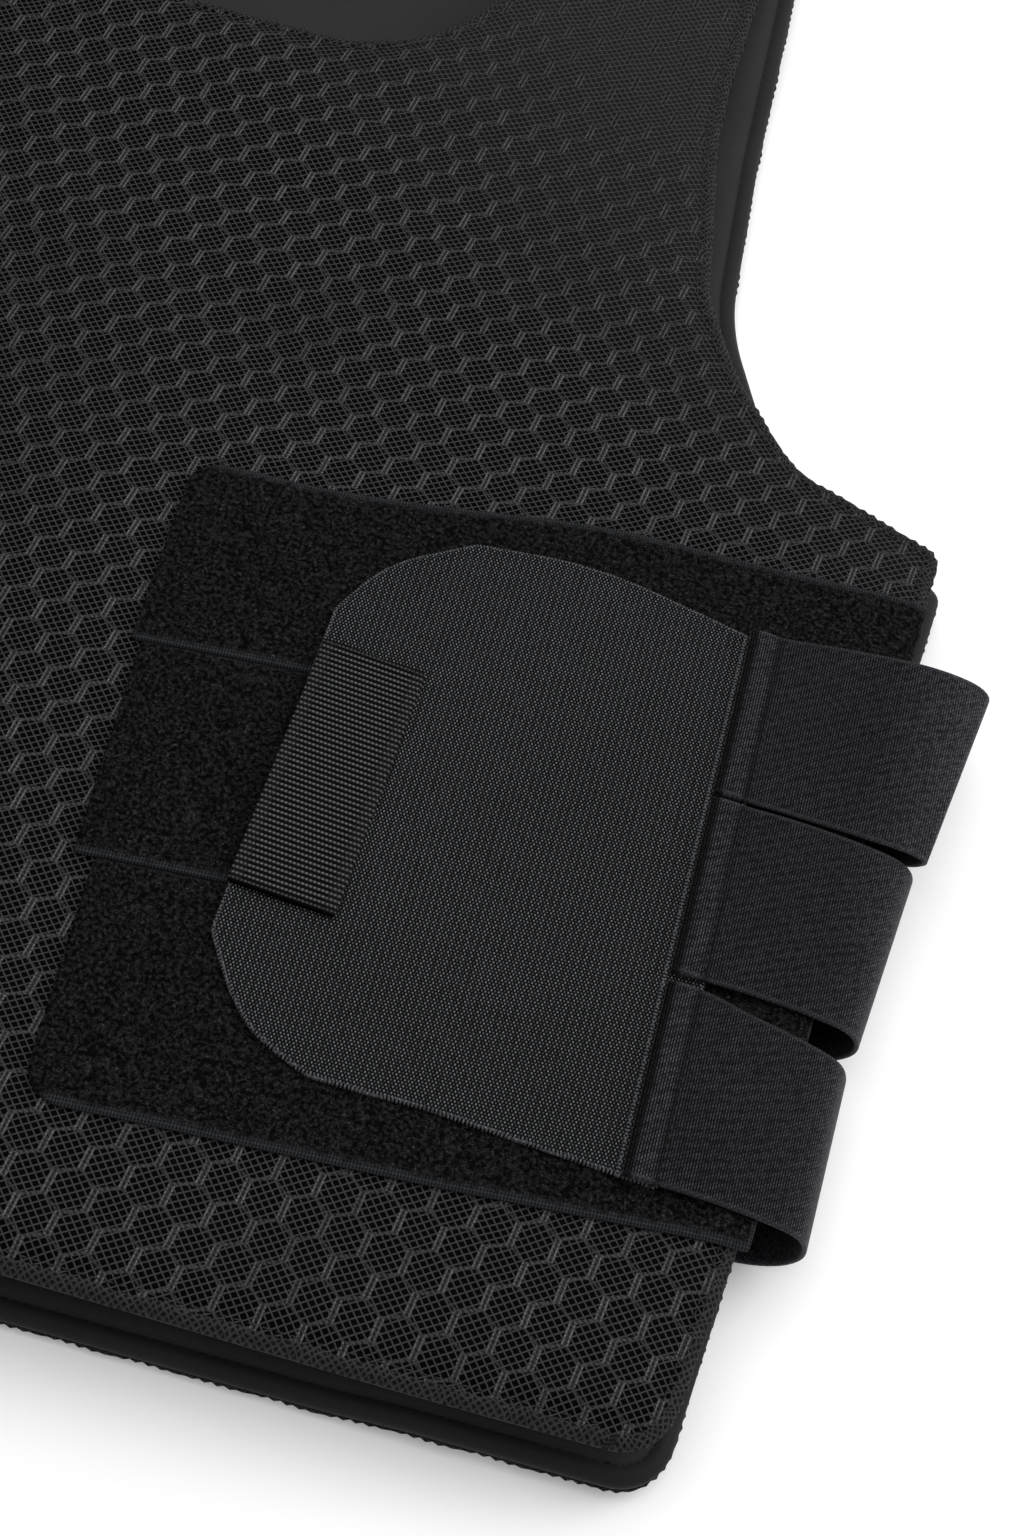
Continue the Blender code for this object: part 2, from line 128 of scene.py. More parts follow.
# Hexagons of the knit, and where one of the chains between two of them lies
KNIT_PITCH = 10.0
KNIT_SQUASH = 0.955
KNIT_TURN = math.radians(-8.0)
KNIT_CHAIN = (135.66, -220.32)
KNIT_RELIEF = 0.3
NET_ACROSS = KNIT_PITCH / 2.54
NET_ALONG = KNIT_PITCH * KNIT_SQUASH / 2.206
EDGE_NET = 1.9

# Loop strips on the front panel, from the neck end to the hem end
LOOP_THICKNESS = 1.5
LOOP_BUTT_GAP = 0.4
LOOP_RIM_SHARE = 0.8
LOOP_CORNER_RADIUS = 9.0
LOOP_INNER_X = 40.0
LOOP_SIDE_X = 229.4
LOOP_SIDE_SLOPE = 0.066
SELVEDGE = 3.0
StripEdge = namedtuple("StripEdge", "y climb")
STRIP_EDGES = (
    StripEdge(-36.0, 0.108),
    StripEdge(-94.2, 0.110),
    StripEdge(-155.5, 0.095),
    StripEdge(-218.3, 0.080),
)
StripEnd = namedtuple("StripEnd", "top_x low_x")
STRIP_ENDS = (StripEnd(30.3, 31.6), StripEnd(34.2, 36.9), StripEnd(42.2, 45.0))
TOP_BOW_X = (40.0, 62.0, 76.0, 90.0, 108.0, 126.0, 141.0, 160.0, 180.0, 200.0, 224.0)
TOP_BOW = (0.0, -1.0, -0.4, 0.8, 2.8, 5.2, 6.2, 5.0, 3.0, 1.8, 0.4)
TOP_BOW_SPREAD = (-6.0, -3.0, 0.0, 3.0, 6.0)
STRIP_DROOP = 1.6
STRIP_DROOP_LENGTH = 5.0

# Hook patch: its sewn edge carries the straps, and the other side of it has clipped corners
PATCH_THICKNESS = 1.4
SEWN_X = 182.0
SEWN_TOP_Y = -42.0
SEAM_ALLOWANCE = 9.0
PATCH_CORNERS = corners(
    (SEAM_ALLOWANCE, -155.2, 1.0), (SEAM_ALLOWANCE, -3.0, 1.0), (-42.0, 8.0, 90.0),
    (-74.8, 3.4, 5.0), (-95.5, -10.8, 40.0), (-104.4, -28.4, 8.0),
    (-107.9, -124.0, 6.0), (-99.8, -136.7, 30.0), (-92.3, -145.1, 20.0),
    (-82.6, -149.7, 40.0), (-75.7, -152.3, 12.0), (-65.3, -152.2, 60.0),
    (-47.0, -151.6, 60.0),
    from_x=SEWN_X, from_y=SEWN_TOP_Y,
)
PATCH_ROW = 0.8
PATCH_BEAD = 0.89

# Pull tab of ribbed webbing
TAB_THICKNESS = 1.3
TAB_WIDTH = 27.2
TAB_LENGTH = 71.8
TAB_CENTRE_X = SEWN_X - 92.5
TAB_CENTRE_Y = SEWN_TOP_Y - 75.8
TAB_TURN = math.radians(-2.8)
TAB_RIB = 1.46
TAB_BEAD = 1.03
TAB_SELVEDGE = 3.2

# Elastic side straps, from the neck end to the hem end
STRAP_THICKNESS = 1.2
BAND_THICKNESS = 2.2
BAND_WIDTH = SEAM_ALLOWANCE
BAND_STITCHES = BAND_WIDTH - 1.0
BAND_END_DIP = 0.3
FLOOR_CLEARANCE = 0.3
BACK_END_X = SEWN_X - 26.0
FRONT_RUN_RISE = 1.1
ELASTIC_RIB = 0.68
ELASTIC_DOT = 1.08
SideStrap = namedtuple(
    "SideStrap", "top bottom fold_top fold_bottom fold_height lift_top lift_bottom flare drift"
)
SIDE_STRAPS = (
    SideStrap(0.0, -50.9, 64.5, 56.2, 29.5, 5.0, 0.0, 1.5, 19.0),
    SideStrap(-52.1, -101.7, 55.0, 49.5, 20.5, 0.6, 0.4, 0.0, 4.0),
    SideStrap(-104.2, -155.0, 48.6, 47.2, 17.0, 1.0, 0.0, -5.0, 0.0),
)
LoopStation = namedtuple("LoopStation", "reach level bow flare drift")
FRONT_RUN = (
    LoopStation(0.42, 1.00, 0.6, 0.5, 0.0),
    LoopStation(0.72, 0.82, 1.0, 0.85, 0.0),
    LoopStation(0.93, 0.55, 0.7, 1.0, 0.0),
    LoopStation(1.00, 0.00, 0.0, 1.0, 0.0),
)
BACK_RUN = (
    LoopStation(0.93, 0.40, 0.0, 0.5, 0.4),
    LoopStation(0.74, 0.03, 0.0, 0.0, 0.8),
    LoopStation(0.45, 0.00, 0.0, 0.0, 1.0),
)

# Shoulder straps, which join the two panels over the shoulders
SHOULDER_STRAP_WIDTH = 50.0
SHOULDER_STRAP_X = 108.0
SHOULDER_STRAP_REACH = 52.0
SHOULDER_SEAM_INSET = 3.0
SHOULDER_SEAM_LENGTH = 24.0
ShoulderStation = namedtuple("ShoulderStation", "back level")
SHOULDER_RUN = (
    ShoulderStation(SHOULDER_STRAP_REACH, 1.00),
    ShoulderStation(28.0, 1.00),
    ShoulderStation(12.0, 0.99),
    ShoulderStation(2.5, 0.74),
    ShoulderStation(0.0, 0.50),
    ShoulderStation(2.5, 0.26),
    ShoulderStation(12.0, 0.01),
    ShoulderStation(28.0, 0.00),
    ShoulderStation(SHOULDER_STRAP_REACH, 0.00),
)


def smooth(value):
    """Nought below 0, one above 1, and an even ramp between."""
    value = np.clip(value, 0.0, 1.0)
    return value * value * (3.0 - 2.0 * value)


# ---- Shapes that the layers share -------------------------------------------------------------


def near_edge(distance, width):
    """One at an edge, and falling to nought at this width from it."""
    return np.clip(1.0 - distance / width, 0.0, 1.0) ** 2


def ridge(distance, middle, width):
    """One at the middle, falling off to both sides within about this width."""
    return np.exp(-(((distance - middle) / width) ** 2))


def swell(distance, pitch):
    """From minus one to one and back once every pitch."""
    return np.cos(distance * (2 * math.pi / pitch))


def ripple(x, y):
    """Slack of the front panel's cloth, which the closures hold flat around themselves."""
    side = np.abs(x)
    above = smooth((y - STRIP_EDGES[0].y - STRIP_EDGES[0].climb * (side - LOOP_INNER_X) - 6) / 45)
    between = smooth((24.0 - side) / 26.0)
    waves = 0.34 * np.sin(side * 0.17 - y * 0.11 + 0.8) + 0.26 * np.sin(side * 0.09 + y * 0.13)
    waves = waves + 0.22 * np.sin(x * 0.043 + y * 0.052 + 2.0)
    return waves * np.maximum(above, between)


def front_face(x, y):
    """Height of the front panel's outer face, away from its rim."""
    crown = CROWN_RISE * np.clip(1.0 - (x / CROWN_HALF_WIDTH) ** 2, 0.0, 1.0) ** 1.5
    return CLOSURE_HEIGHT + crown - NECK_FALL * smooth((y - FALL_START_Y) / FALL_LENGTH)


def back_face(x, y):
    """Height of the back panel's outer face, which is its underside, away from its rim."""
    beside = smooth((np.abs(x) - SIDE_ROOM_X) / ROOM_RAMP)
    beside = beside * smooth((SIDE_ROOM_END_Y - y) / ROOM_RAMP)
    above = smooth((y - SHOULDER_ROOM_Y) / ROOM_RAMP)
    return STRAP_ROOM * np.maximum(beside, above)


def rim_fall(distance):
    """How much of the rim's drop applies at this distance from the edge, from one to nought."""
    return near_edge(distance, RIM_WIDTH)


def front_cloth(flat, depth):
    """Height of the front mesh's outer face, with its slack and its fall at the rim."""
    return front_face(*flat.T) + ripple(*flat.T) - RIM_DROP * rim_fall(depth)


def back_cloth(flat, depth):
    """Height of the back mesh's outer face, with its rise at the rim."""
    return back_face(*flat.T) + RIM_DROP * rim_fall(depth)


def knit_places(across, along):
    """Places on the knit, counted in hexagons, from distances in millimetres or fields of them."""
    cosine, sine = math.cos(KNIT_TURN), math.sin(KNIT_TURN)
    a = (across * cosine + along * sine) / KNIT_PITCH - 0.5
    b = (along * cosine - across * sine) / (KNIT_PITCH * KNIT_SQUASH)
    return a, b


def knit_relief(x, y):
    """How far the knit stands up: one on the walls of its hexagons, nought in their middles."""
    a, b = knit_places(x - KNIT_CHAIN[0], y - KNIT_CHAIN[1])
    near = np.full(a.shape, 9.0)
    wall = np.zeros(a.shape)
    for shift in (0.0, 0.5):
        u = (a - shift + 0.5) % 1.0 - 0.5
        v = ((b / ROOT_3 - shift + 0.5) % 1.0 - 0.5) * ROOT_3
        tall = v * ROOT_3 / 2
        reach = np.max((np.abs(u), np.abs(u / 2 + tall), np.abs(tall - u / 2)), axis=0)
        closer = u * u + v * v < near
        near = np.where(closer, u * u + v * v, near)
        wall = np.where(closer, reach, wall)
    return smooth((wall - 0.26) / 0.2)


def rolled_edge(depth, place):
    """How far the rolled edge of the mesh stands above its face, by the distance from the edge."""
    outer = np.sqrt(np.clip(1.0 - ((depth - ROLL_CREST) / ROLL_CREST) ** 2, 0.0, 1.0))
    outer = (ROLL_RISE + ROLL_FALL) * outer - ROLL_FALL
    inner = smooth((depth - ROLL_CREST) / (ROLL_WIDTH - ROLL_CREST))
    inner = ROLL_RISE - (ROLL_RISE + GROOVE_DEPTH) * inner
    field = -GROOVE_DEPTH * np.exp(-(depth - ROLL_WIDTH) / 1.1)
    height = np.where(depth < ROLL_CREST, outer, np.where(depth < ROLL_WIDTH, inner, field))
    bumps = 0.16 * swell(place, EDGE_BUMP_PITCH) + 0.1 * np.sin(place * 0.9)
    return height + bumps * smooth((ROLL_WIDTH - depth) / 2.0)


def rounded_outline(turns_at, step):
    """Points along a closed outline whose corners are rounded to their radii."""
    arcs = []
    for index, corner in enumerate(turns_at):
        here = np.array((corner.x, corner.y))
        after = turns_at[(index + 1) % len(turns_at)]
        to_before = np.array(turns_at[index - 1][:2]) - here
        to_after = np.array(after[:2]) - here
        to_before /= np.linalg.norm(to_before)
        to_after /= np.linalg.norm(to_after)
        half_angle = math.acos(to_before @ to_after) / 2
        inward = (to_before + to_after) / np.linalg.norm(to_before + to_after)
        centre = here + inward * corner.radius / math.sin(half_angle)
        start = here + to_before * corner.radius / math.tan(half_angle) - centre
        end = here + to_after * corner.radius / math.tan(half_angle) - centre
        first = math.atan2(start[1], start[0])
        sweep = math.atan2(start[0] * end[1] - start[1] * end[0], start @ end)
        pieces = max(2, round(corner.radius * abs(sweep) / step))
        turns = first + sweep * np.linspace(0.0, 1.0, pieces + 1)
        arcs.append(centre + corner.radius * np.stack((np.cos(turns), np.sin(turns)), axis=1))
    points = []
    for arc, following in zip(arcs, arcs[1:] + arcs[:1]):
        points.extend(arc)
        run = following[0] - arc[-1]
        pieces = max(1, round(np.linalg.norm(run) / step))
        points.extend(arc[-1] + run * part / pieces for part in range(1, pieces))
    return np.array(points)


def both_halves(half):
    """The corners of a whole outline from those of its half at +X."""
    return half + tuple(Corner(-c.x, c.y, c.radius) for c in reversed(half))


def outward(outline):
    """Unit normals of a closed anticlockwise outline, away from what it encloses."""
    ahead = np.roll(outline, -1, axis=0) - np.roll(outline, 1, axis=0)
    normal = np.stack((ahead[:, 1], -ahead[:, 0]), axis=1)
    return normal / np.linalg.norm(normal, axis=1)[:, None]


def lengths_along(outline):
    """Distance of each point of a closed outline from its first one, along it."""
    steps = np.linalg.norm(np.diff(outline, axis=0), axis=1)
    return np.concatenate(((0.0,), np.cumsum(steps)))


class Edge:
    """A closed outline that gives each point's distance from it, and the place along it."""

    def __init__(self, outline):
        self.outline = outline
        following = np.roll(outline, -1, axis=0)
        lengths = np.append(lengths_along(outline), 0.0)
        lengths[-1] = lengths[-2] + np.linalg.norm(outline[0] - outline[-1])
        self.tree = KDTree(len(outline) * 4)
        self.places = []
        for index, (start, end) in enumerate(zip(outline, following)):
            for quarter in range(4):
                part = quarter / 4
                point = start + (end - start) * part
                self.tree.insert((point[0], point[1], 0.0), len(self.places))
                run = lengths[index + 1] - lengths[index]
                self.places.append(lengths[index] + run * part)
        self.tree.balance()

    def measure(self, points):
        found = [self.tree.find((x, y, 0.0)) for x, y in points]
        depth = np.array([distance for _, _, distance in found])
        return depth, np.array([self.places[index] for _, index, _ in found])


def grid_inside(outline, cell):
    """Points of an even, staggered grid inside a closed outline."""
    start, end = outline, np.roll(outline, -1, axis=0)
    points = []
    row_step = cell * ROOT_3 / 2
    first_row = math.ceil(outline[:, 1].min() / row_step)
    last_row = math.floor(outline[:, 1].max() / row_step)
    for row in range(first_row, last_row + 1):
        y = row * row_step
        crossing = (start[:, 1] > y) != (end[:, 1] > y)
        part = (y - start[crossing, 1]) / (end[crossing, 1] - start[crossing, 1])
        places = np.sort(start[crossing, 0] + part * (end[crossing, 0] - start[crossing, 0]))
        shift = (row % 2) * cell / 2
        for low, high in zip(places[::2], places[1::2]):
            x = np.arange(math.ceil((low - shift) / cell), (high - shift) / cell) * cell + shift
            points.append(np.stack((x, np.full(x.shape, y)), axis=1))
    return np.concatenate(points)


def filled(outline, rings, cell, edge):
    """Flat points and triangles that fill an outline, through rings inside its edge and a grid."""
    normal = outward(outline)
    inner = [outline - normal * offset for offset in rings]
    inner = [ring[edge.measure(ring)[0] > 0.94 * o] for ring, o in zip(inner, rings)]
    grid = grid_inside(outline, cell)
    clear = (rings[-1] if len(rings) else 0.0) + cell * 0.6
    grid = grid[edge.measure(grid)[0] > clear]
    flat = [Vector(point) for point in np.concatenate([outline, *inner, grid])]
    edges = [(i, (i + 1) % len(outline)) for i in range(len(outline))]
    found, _, triangles, *_ = delaunay_2d_cdt(flat, edges, [], 1, 1e-4)
    return np.array(found), np.array(triangles)


def linked(name, data):
    """A new object of this mesh, light or camera, in the scene."""
    made = bpy.data.objects.new(name, data)
    bpy.context.scene.collection.objects.link(made)
    return made


def piece(name, points, faces, maps, material, slot, nodes):
    """An object from points in millimetres, with its maps in metres, that replaces CAD nodes."""
    mesh = bpy.data.meshes.new(name)
    mesh.from_pydata((np.asarray(points) * MM).tolist(), [], [list(map(int, f)) for f in faces])
    at_loops = np.empty(len(mesh.loops), dtype=np.int32)
    mesh.loops.foreach_get("vertex_index", at_loops)
    for map_name, values in maps.items():
        layer = mesh.uv_layers.new(name=map_name)
        layer.data.foreach_set("uv", (np.asarray(values) * MM)[at_loops].ravel())
    mesh.shade_smooth()
    mesh.set_sharp_from_angle(angle=math.radians(62))
    mesh.materials.append(material)
    made = linked(name, mesh)
    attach(made, "root")
    if nodes:
        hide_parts(*nodes)
    return made


def sheet_piece(name, outline, rings, cells, heights, slot, node, cloth_map=None, edge_map=None):
    """A sheet over a flat outline. Its two faces' heights take flat points, depths and places."""
    edge = Edge(outline)
    points, faces, cloth, rim = [], [], [], []
    count = 0
    for height, cell, ring_set, turn in zip(heights, cells, (rings, ()), (1, -1)):
        flat, triangles = filled(outline, ring_set, cell, edge)
        depth, place = edge.measure(flat)
        depth[: len(outline)] = 0.0
        points.append(np.column_stack((flat, height(flat, depth, place))))
        faces.extend((triangles[:, ::turn] + count).tolist())
        cloth.append(cloth_map(flat) if cloth_map else flat)
        rim.append(edge_map(flat) if edge_map else np.column_stack((depth, place)))
        count += len(flat)
    below = len(points[0])
    around = len(outline)
    for a in range(around):
        b = (a + 1) % around
        faces.append((b, a, below + a, below + b))
    maps = {"cloth": np.concatenate(cloth), "edge": np.concatenate(rim)}
    return piece(name, np.concatenate(points), faces, maps, *FINISH[slot], [node])


# ---- Materials ----------------------------------------------------------------------------------


def sum_of(operation, swapped=False):
    """A method that joins a field and another value by a node of this operation."""

    def method(self, other):
        return self.graph.math(operation, *((other, self) if swapped else (self, other)))

    return method


class Field:
    """A number over a surface. Arithmetic on it adds nodes to the material."""

    def __init__(self, graph, socket):
        self.graph = graph
        self.socket = socket

    __add__, __radd__ = sum_of("ADD"), sum_of("ADD", swapped=True)
    __sub__, __rsub__ = sum_of("SUBTRACT"), sum_of("SUBTRACT", swapped=True)
    __mul__, __rmul__ = sum_of("MULTIPLY"), sum_of("MULTIPLY", swapped=True)
    __truediv__ = sum_of("DIVIDE")

    def __abs__(self):
        return self.graph.math("ABSOLUTE", self)


class Graph:
    """A material and the fields that its nodes work out."""

    def __init__(self, name, roughness, specular=0.3, sheen=0.0, sheen_roughness=0.4):
        self.material = bpy.data.materials.new(name)
        self.material.use_nodes = True
        self.tree = self.material.node_tree
        self.shader = self.tree.nodes["Principled BSDF"]
        self.fill(self.shader, {
            "Roughness": roughness, "Specular IOR Level": specular, "Metallic": 0.0,
            "Sheen Weight": sheen, "Sheen Roughness": sheen_roughness,
        })

    def node(self, kind, **settings):
        made = self.tree.nodes.new("ShaderNode" + kind)
        for key, value in settings.items():
            setattr(made, key, value)
        return made

    def plug(self, socket, value):
        if isinstance(value, Field):
            self.tree.links.new(value.socket, socket)
        else:
            socket.default_value = value

    def fill(self, node, values):
        for name, value in values.items():
            self.plug(node.inputs[name], value)

    def math(self, operation, *values):
        made = self.node("Math", operation=operation)
        for socket, value in zip(made.inputs, values):
            self.plug(socket, value)
        return Field(self, made.outputs[0])

    def wrapped(self, value, half=0.5):
        """The value brought between minus half and half by whole steps."""
        return self.math("WRAP", value, half, -half)

    def least(self, *values):
        return reduce(lambda found, value: self.math("MINIMUM", found, value), values)

    def most(self, *values):
        return reduce(lambda found, value: self.math("MAXIMUM", found, value), values)

    def odd(self, rows):
        """Nought in the even rows and one in the odd ones."""
        return abs(self.wrapped(self.math("FLOOR", rows) * 0.5)) * 2.0

    def ramp(self, value, start, end):
        """Nought at start and one at end, evenly between and level outside."""
        made = self.node("MapRange", interpolation_type="SMOOTHSTEP")
        low, high = (0.0, 1.0) if start < end else (1.0, 0.0)
        self.fill(made, {
            "Value": value, "From Min": min(start, end), "From Max": max(start, end),
            "To Min": low, "To Max": high,
        })
        return Field(self, made.outputs[0])

    def wave(self, value, pitch):
        """From nought to one and back once every pitch, one where the value is nought."""
        return self.math("COSINE", value * (2 * math.pi / pitch)) * 0.5 + 0.5

    def place(self, map_name):
        """The two coordinates of one of the piece's maps, in millimetres."""
        found = self.node("UVMap", uv_map=map_name)
        parts = self.node("SeparateXYZ")
        self.tree.links.new(found.outputs[0], parts.inputs[0])
        return Field(self, parts.outputs[0]) / MM, Field(self, parts.outputs[1]) / MM

    def noise(self, size, detail=2.0, distortion=0.0):
        """Cloudy noise from nought to one, with features of about this size in millimetres."""
        where = self.node("TexCoord")
        made = self.node("TexNoise")
        self.tree.links.new(where.outputs["Object"], made.inputs["Vector"])
        self.fill(made, {"Scale": 1.0 / (size * MM), "Detail": detail, "Distortion": distortion})
        return Field(self, made.outputs[0])

    def steepness(self):
        """Nought where the surface lies level, one where it stands upright."""
        where = self.node("TexCoord")
        parts = self.node("SeparateXYZ")
        self.tree.links.new(where.outputs["Normal"], parts.inputs[0])
        return self.ramp(abs(Field(self, parts.outputs[2])), 0.85, 0.05)

    def blend(self, low, high, share):
        """A colour between two colours, each a triple or an earlier blend."""
        made = self.node("Mix", data_type="RGBA")
        self.plug(made.inputs[0], share)
        for socket, colour in ((made.inputs[6], low), (made.inputs[7], high)):
            self.plug(socket, colour if isinstance(colour, Field) else (*colour, 1.0))
        return Field(self, made.outputs[2])

    def finish(self, colour, height, depth):
        """Sets the colour, and bumps the surface by a height from nought to one over depth mm."""
        self.plug(self.shader.inputs["Base Color"], colour)
        bump = self.node("Bump")
        self.fill(bump, {"Strength": 1.0, "Distance": depth * MM, "Height": height})
        self.tree.links.new(bump.outputs[0], self.shader.inputs["Normal"])
        return self.material


def spacer_mesh():
    """Black knit: hexagons walled by chains and links, and filled with a net of rhombic holes."""
    g = Graph("spacer_mesh", roughness=0.6, specular=0.02)
    x, y = g.place("cloth")
    depth, place = g.place("edge")
    drift = g.noise(26.0, detail=1.0) - 0.5
    across, along = x - KNIT_CHAIN[0] + drift * 1.1, y - KNIT_CHAIN[1] - drift * 1.3
    a, b = knit_places(across, along)
    u1, v1 = g.wrapped(a), g.wrapped(b / ROOT_3) * ROOT_3
    u2, v2 = g.wrapped(a - 0.5), g.wrapped(b / ROOT_3 - 0.5) * ROOT_3
    first = g.math("LESS_THAN", u1 * u1 + v1 * v1, u2 * u2 + v2 * v2)
    u, v = u2 + first * (u1 - u2), v2 + first * (v1 - v2)
    to_chain = 0.5 - abs(u)
    to_dense = 0.5 - abs(u * 0.5 + v * (ROOT_3 / 2))
    to_link = 0.5 - abs(v * (ROOT_3 / 2) - u * 0.5)

    s, t = a * NET_ACROSS + b * NET_ALONG, a * NET_ACROSS - b * NET_ALONG
    to_thread = g.least(abs(g.wrapped(s)), abs(g.wrapped(t)))
    net = g.ramp(to_thread, 0.155, 0.05)
    stitch_row = g.ramp(abs(to_chain - 0.06), 0.036, 0.01) * g.ramp(abs(v), 0.36, 0.27)
    beads = g.wave(b, 0.094)
    speckle = g.ramp(g.noise(0.7, detail=2.0), 0.35, 0.65)
    uneven = g.ramp(g.noise(8.0, detail=1.0), 0.34, 0.66)
    # Partly painted highlight: the beads of each chain are lighter yarn, brightened further for the
    # light on their raised stitches.
    chain = stitch_row * (0.2 + beads * 0.4 + speckle * 0.5)
    slot = g.ramp(to_chain, 0.03, 0.01) * g.ramp(abs(v), 0.34, 0.26)
    swing = g.math("SMOOTH_MIN", to_chain, to_link, 0.16)
    link_beads = 0.25 + g.wave(a * 0.5 + b * 0.87, 0.11) * 0.75
    link = g.ramp(abs(swing - 0.01), 0.052, 0.012) * link_beads
    dense = g.ramp(to_dense, 0.05, 0.015) * (0.55 + g.wave(a * 0.87 - b * 0.5, 0.13) * 0.45)
    fade = g.ramp(g.noise(70.0, detail=1.0), 0.3, 0.62)
    fuzz = g.noise(0.8, detail=2.0)

    far = g.ramp(x * 0.55 + y * 0.85 + drift * 30.0, 70.0, 210.0)
    chain = chain * (0.38 + fade * 0.4 + uneven * 0.28)
    walls = g.most(dense * 0.2, link * (0.18 + fade * 0.2), chain)
    yarn = g.most(net * (0.27 + far * 0.02), walls * (1.0 - far * 0.6), far * 0.08)
    # Painted shade in the slots between a chain's two rows of stitches.
    yarn = yarn * (1.0 - slot * 0.55)
    edging = g.ramp(depth + (g.noise(2.2, detail=2.0) - 0.5) * 1.6, 3.4, 2.6)
    slant = depth * 1.2
    turned = [abs(g.wrapped(way / EDGE_NET)) for way in (place + slant, place - slant)]
    edge_yarn = g.ramp(g.least(*turned), 0.3, 0.05) * (0.08 + g.noise(3.0) * 0.2) + 0.04
    yarn = yarn * (1.0 - edging) + edging * edge_yarn
    tone = yarn * (0.6 + fuzz * 0.8)
    # Painted shade: where there is no yarn, in the net's holes and the chains' slots, the colour
    # falls to near black for the shaded dark pack seen through the knit.
    colour = g.blend((0.0004, 0.0004, 0.0005), (0.135, 0.138, 0.136), tone)
    return g.finish(colour, yarn + fuzz * 0.1, 0.3)


def panel_lining():
    """Smooth dark lining with a darker bound edge behind a seam."""
    g = Graph("panel_lining", roughness=0.55, specular=0.12)
    x, y = g.place("cloth")
    depth, place = g.place("edge")
    weave = g.wave(x + y, 0.55) * 0.5 + g.wave(x - y, 0.55) * 0.5
    cloud = g.noise(18.0, detail=3.0)
    seam = g.ramp(abs(depth - LINING_SEAM), 0.55, 0.1)
    stitches = seam * g.ramp(g.wave(place, 2.8), 0.35, 0.7)
    tone = (0.55 + cloud * 0.6 + weave * 0.25) * (0.55 + g.ramp(depth, 4.4, 5.2) * 0.45)
    colour = g.blend((0.002, 0.002, 0.002), (0.021, 0.021, 0.022), tone * (1.0 - seam * 0.35))
    colour = g.blend(colour, (0.018, 0.018, 0.019), stitches * 0.5)
    return g.finish(colour, weave * 0.15 + stitches * 0.2 - seam * 0.3, 0.4)


def loop_pile():
    """Near-black pile of fine curled loops, between ribbed selvedges."""
    g = Graph("loop_pile", roughness=0.8, specular=0.02)
    x, y = g.place("cloth")
    depth, place = g.place("edge")
    curls = []
    for size, line in ((0.6, 0.07), (0.95, 0.055), (1.4, 0.035)):
        field = g.noise(size, detail=1.0, distortion=1.6)
        curls.append(g.ramp(abs(field - 0.5), line, 0.004))
    clump = g.noise(1.1, detail=2.0)
    curl = g.most(curls[0] * 0.6, curls[1] * 0.8, curls[2]) * g.ramp(clump, 0.36, 0.7)
    ragged = depth + (g.noise(1.6, detail=3.0) - 0.5) * 4.5
    ending = place - y * LOOP_SIDE_SLOPE + (g.noise(3.5, detail=2.0) - 0.5) * 2.5
    sides = g.ramp(ending, LOOP_SIDE_X - 2.4, LOOP_SIDE_X - 1.2)
    selvedge = g.most(g.ramp(ragged, SELVEDGE + 0.2, SELVEDGE - 2.4), sides)
    ribs = g.wave(x, 0.8) * 0.6 + g.wave(depth, 0.9) * 0.4
    pile = g.blend((0.0012, 0.0012, 0.0013), (0.066, 0.066, 0.067), curl)
    band = g.blend((0.004, 0.0042, 0.0046), (0.034, 0.036, 0.04), ribs)
    height = (curl * 0.8 + clump * 0.3) * (1.0 - selvedge) + ribs * selvedge * 0.3
    return g.finish(g.blend(pile, band, selvedge), height, 0.6)


def patch_weave():
    """Dark grey pebbled back of the hook tape: offset rows of small bright beads."""
    g = Graph("patch_weave", roughness=0.5, specular=0.04)
    x, y = g.place("cloth")
    depth, place = g.place("edge")
    wander = g.noise(5.0, detail=1.0) - 0.5
    rows = (y + wander * 0.2) / PATCH_ROW
    odd = g.odd(rows)
    beads = g.wave(x + odd * (PATCH_BEAD / 2) + g.noise(2.5) * 0.25, PATCH_BEAD)
    across_row = g.ramp(abs(g.wrapped(rows - 0.5)), 0.46, 0.08)
    bead = g.ramp(beads, 0.38, 1.0) * across_row
    rim = g.ramp(depth, 1.1, 0.5) * g.ramp(g.wave(place, 0.95), 0.2, 0.7)
    column = g.wave(x + odd * (PATCH_BEAD / 2) + wander * 0.3, PATCH_BEAD * 2)
    pick = g.ramp(g.noise(1.3, detail=2.0), 0.36, 0.64)
    cloud = g.noise(45.0, detail=3.0)
    sewn = g.ramp(abs(abs(x) - SEWN_X + 1.0), 0.6, 0.2) * g.ramp(g.wave(y, 0.95), 0.2, 0.7)
    rim = g.most(rim, sewn * 1.3)
    # Partly painted highlight: the beads are lighter yarn, brightened further for the light on their
    # raised tops.
    tone = g.most(bead * (0.3 + column * 0.68 + pick * 0.34), rim * 0.4) * (0.8 + cloud * 0.3)
    colour = g.blend((0.001, 0.0011, 0.0013), (0.18, 0.186, 0.198), tone)
    return g.finish(colour, bead + rim * 0.4, 0.25)


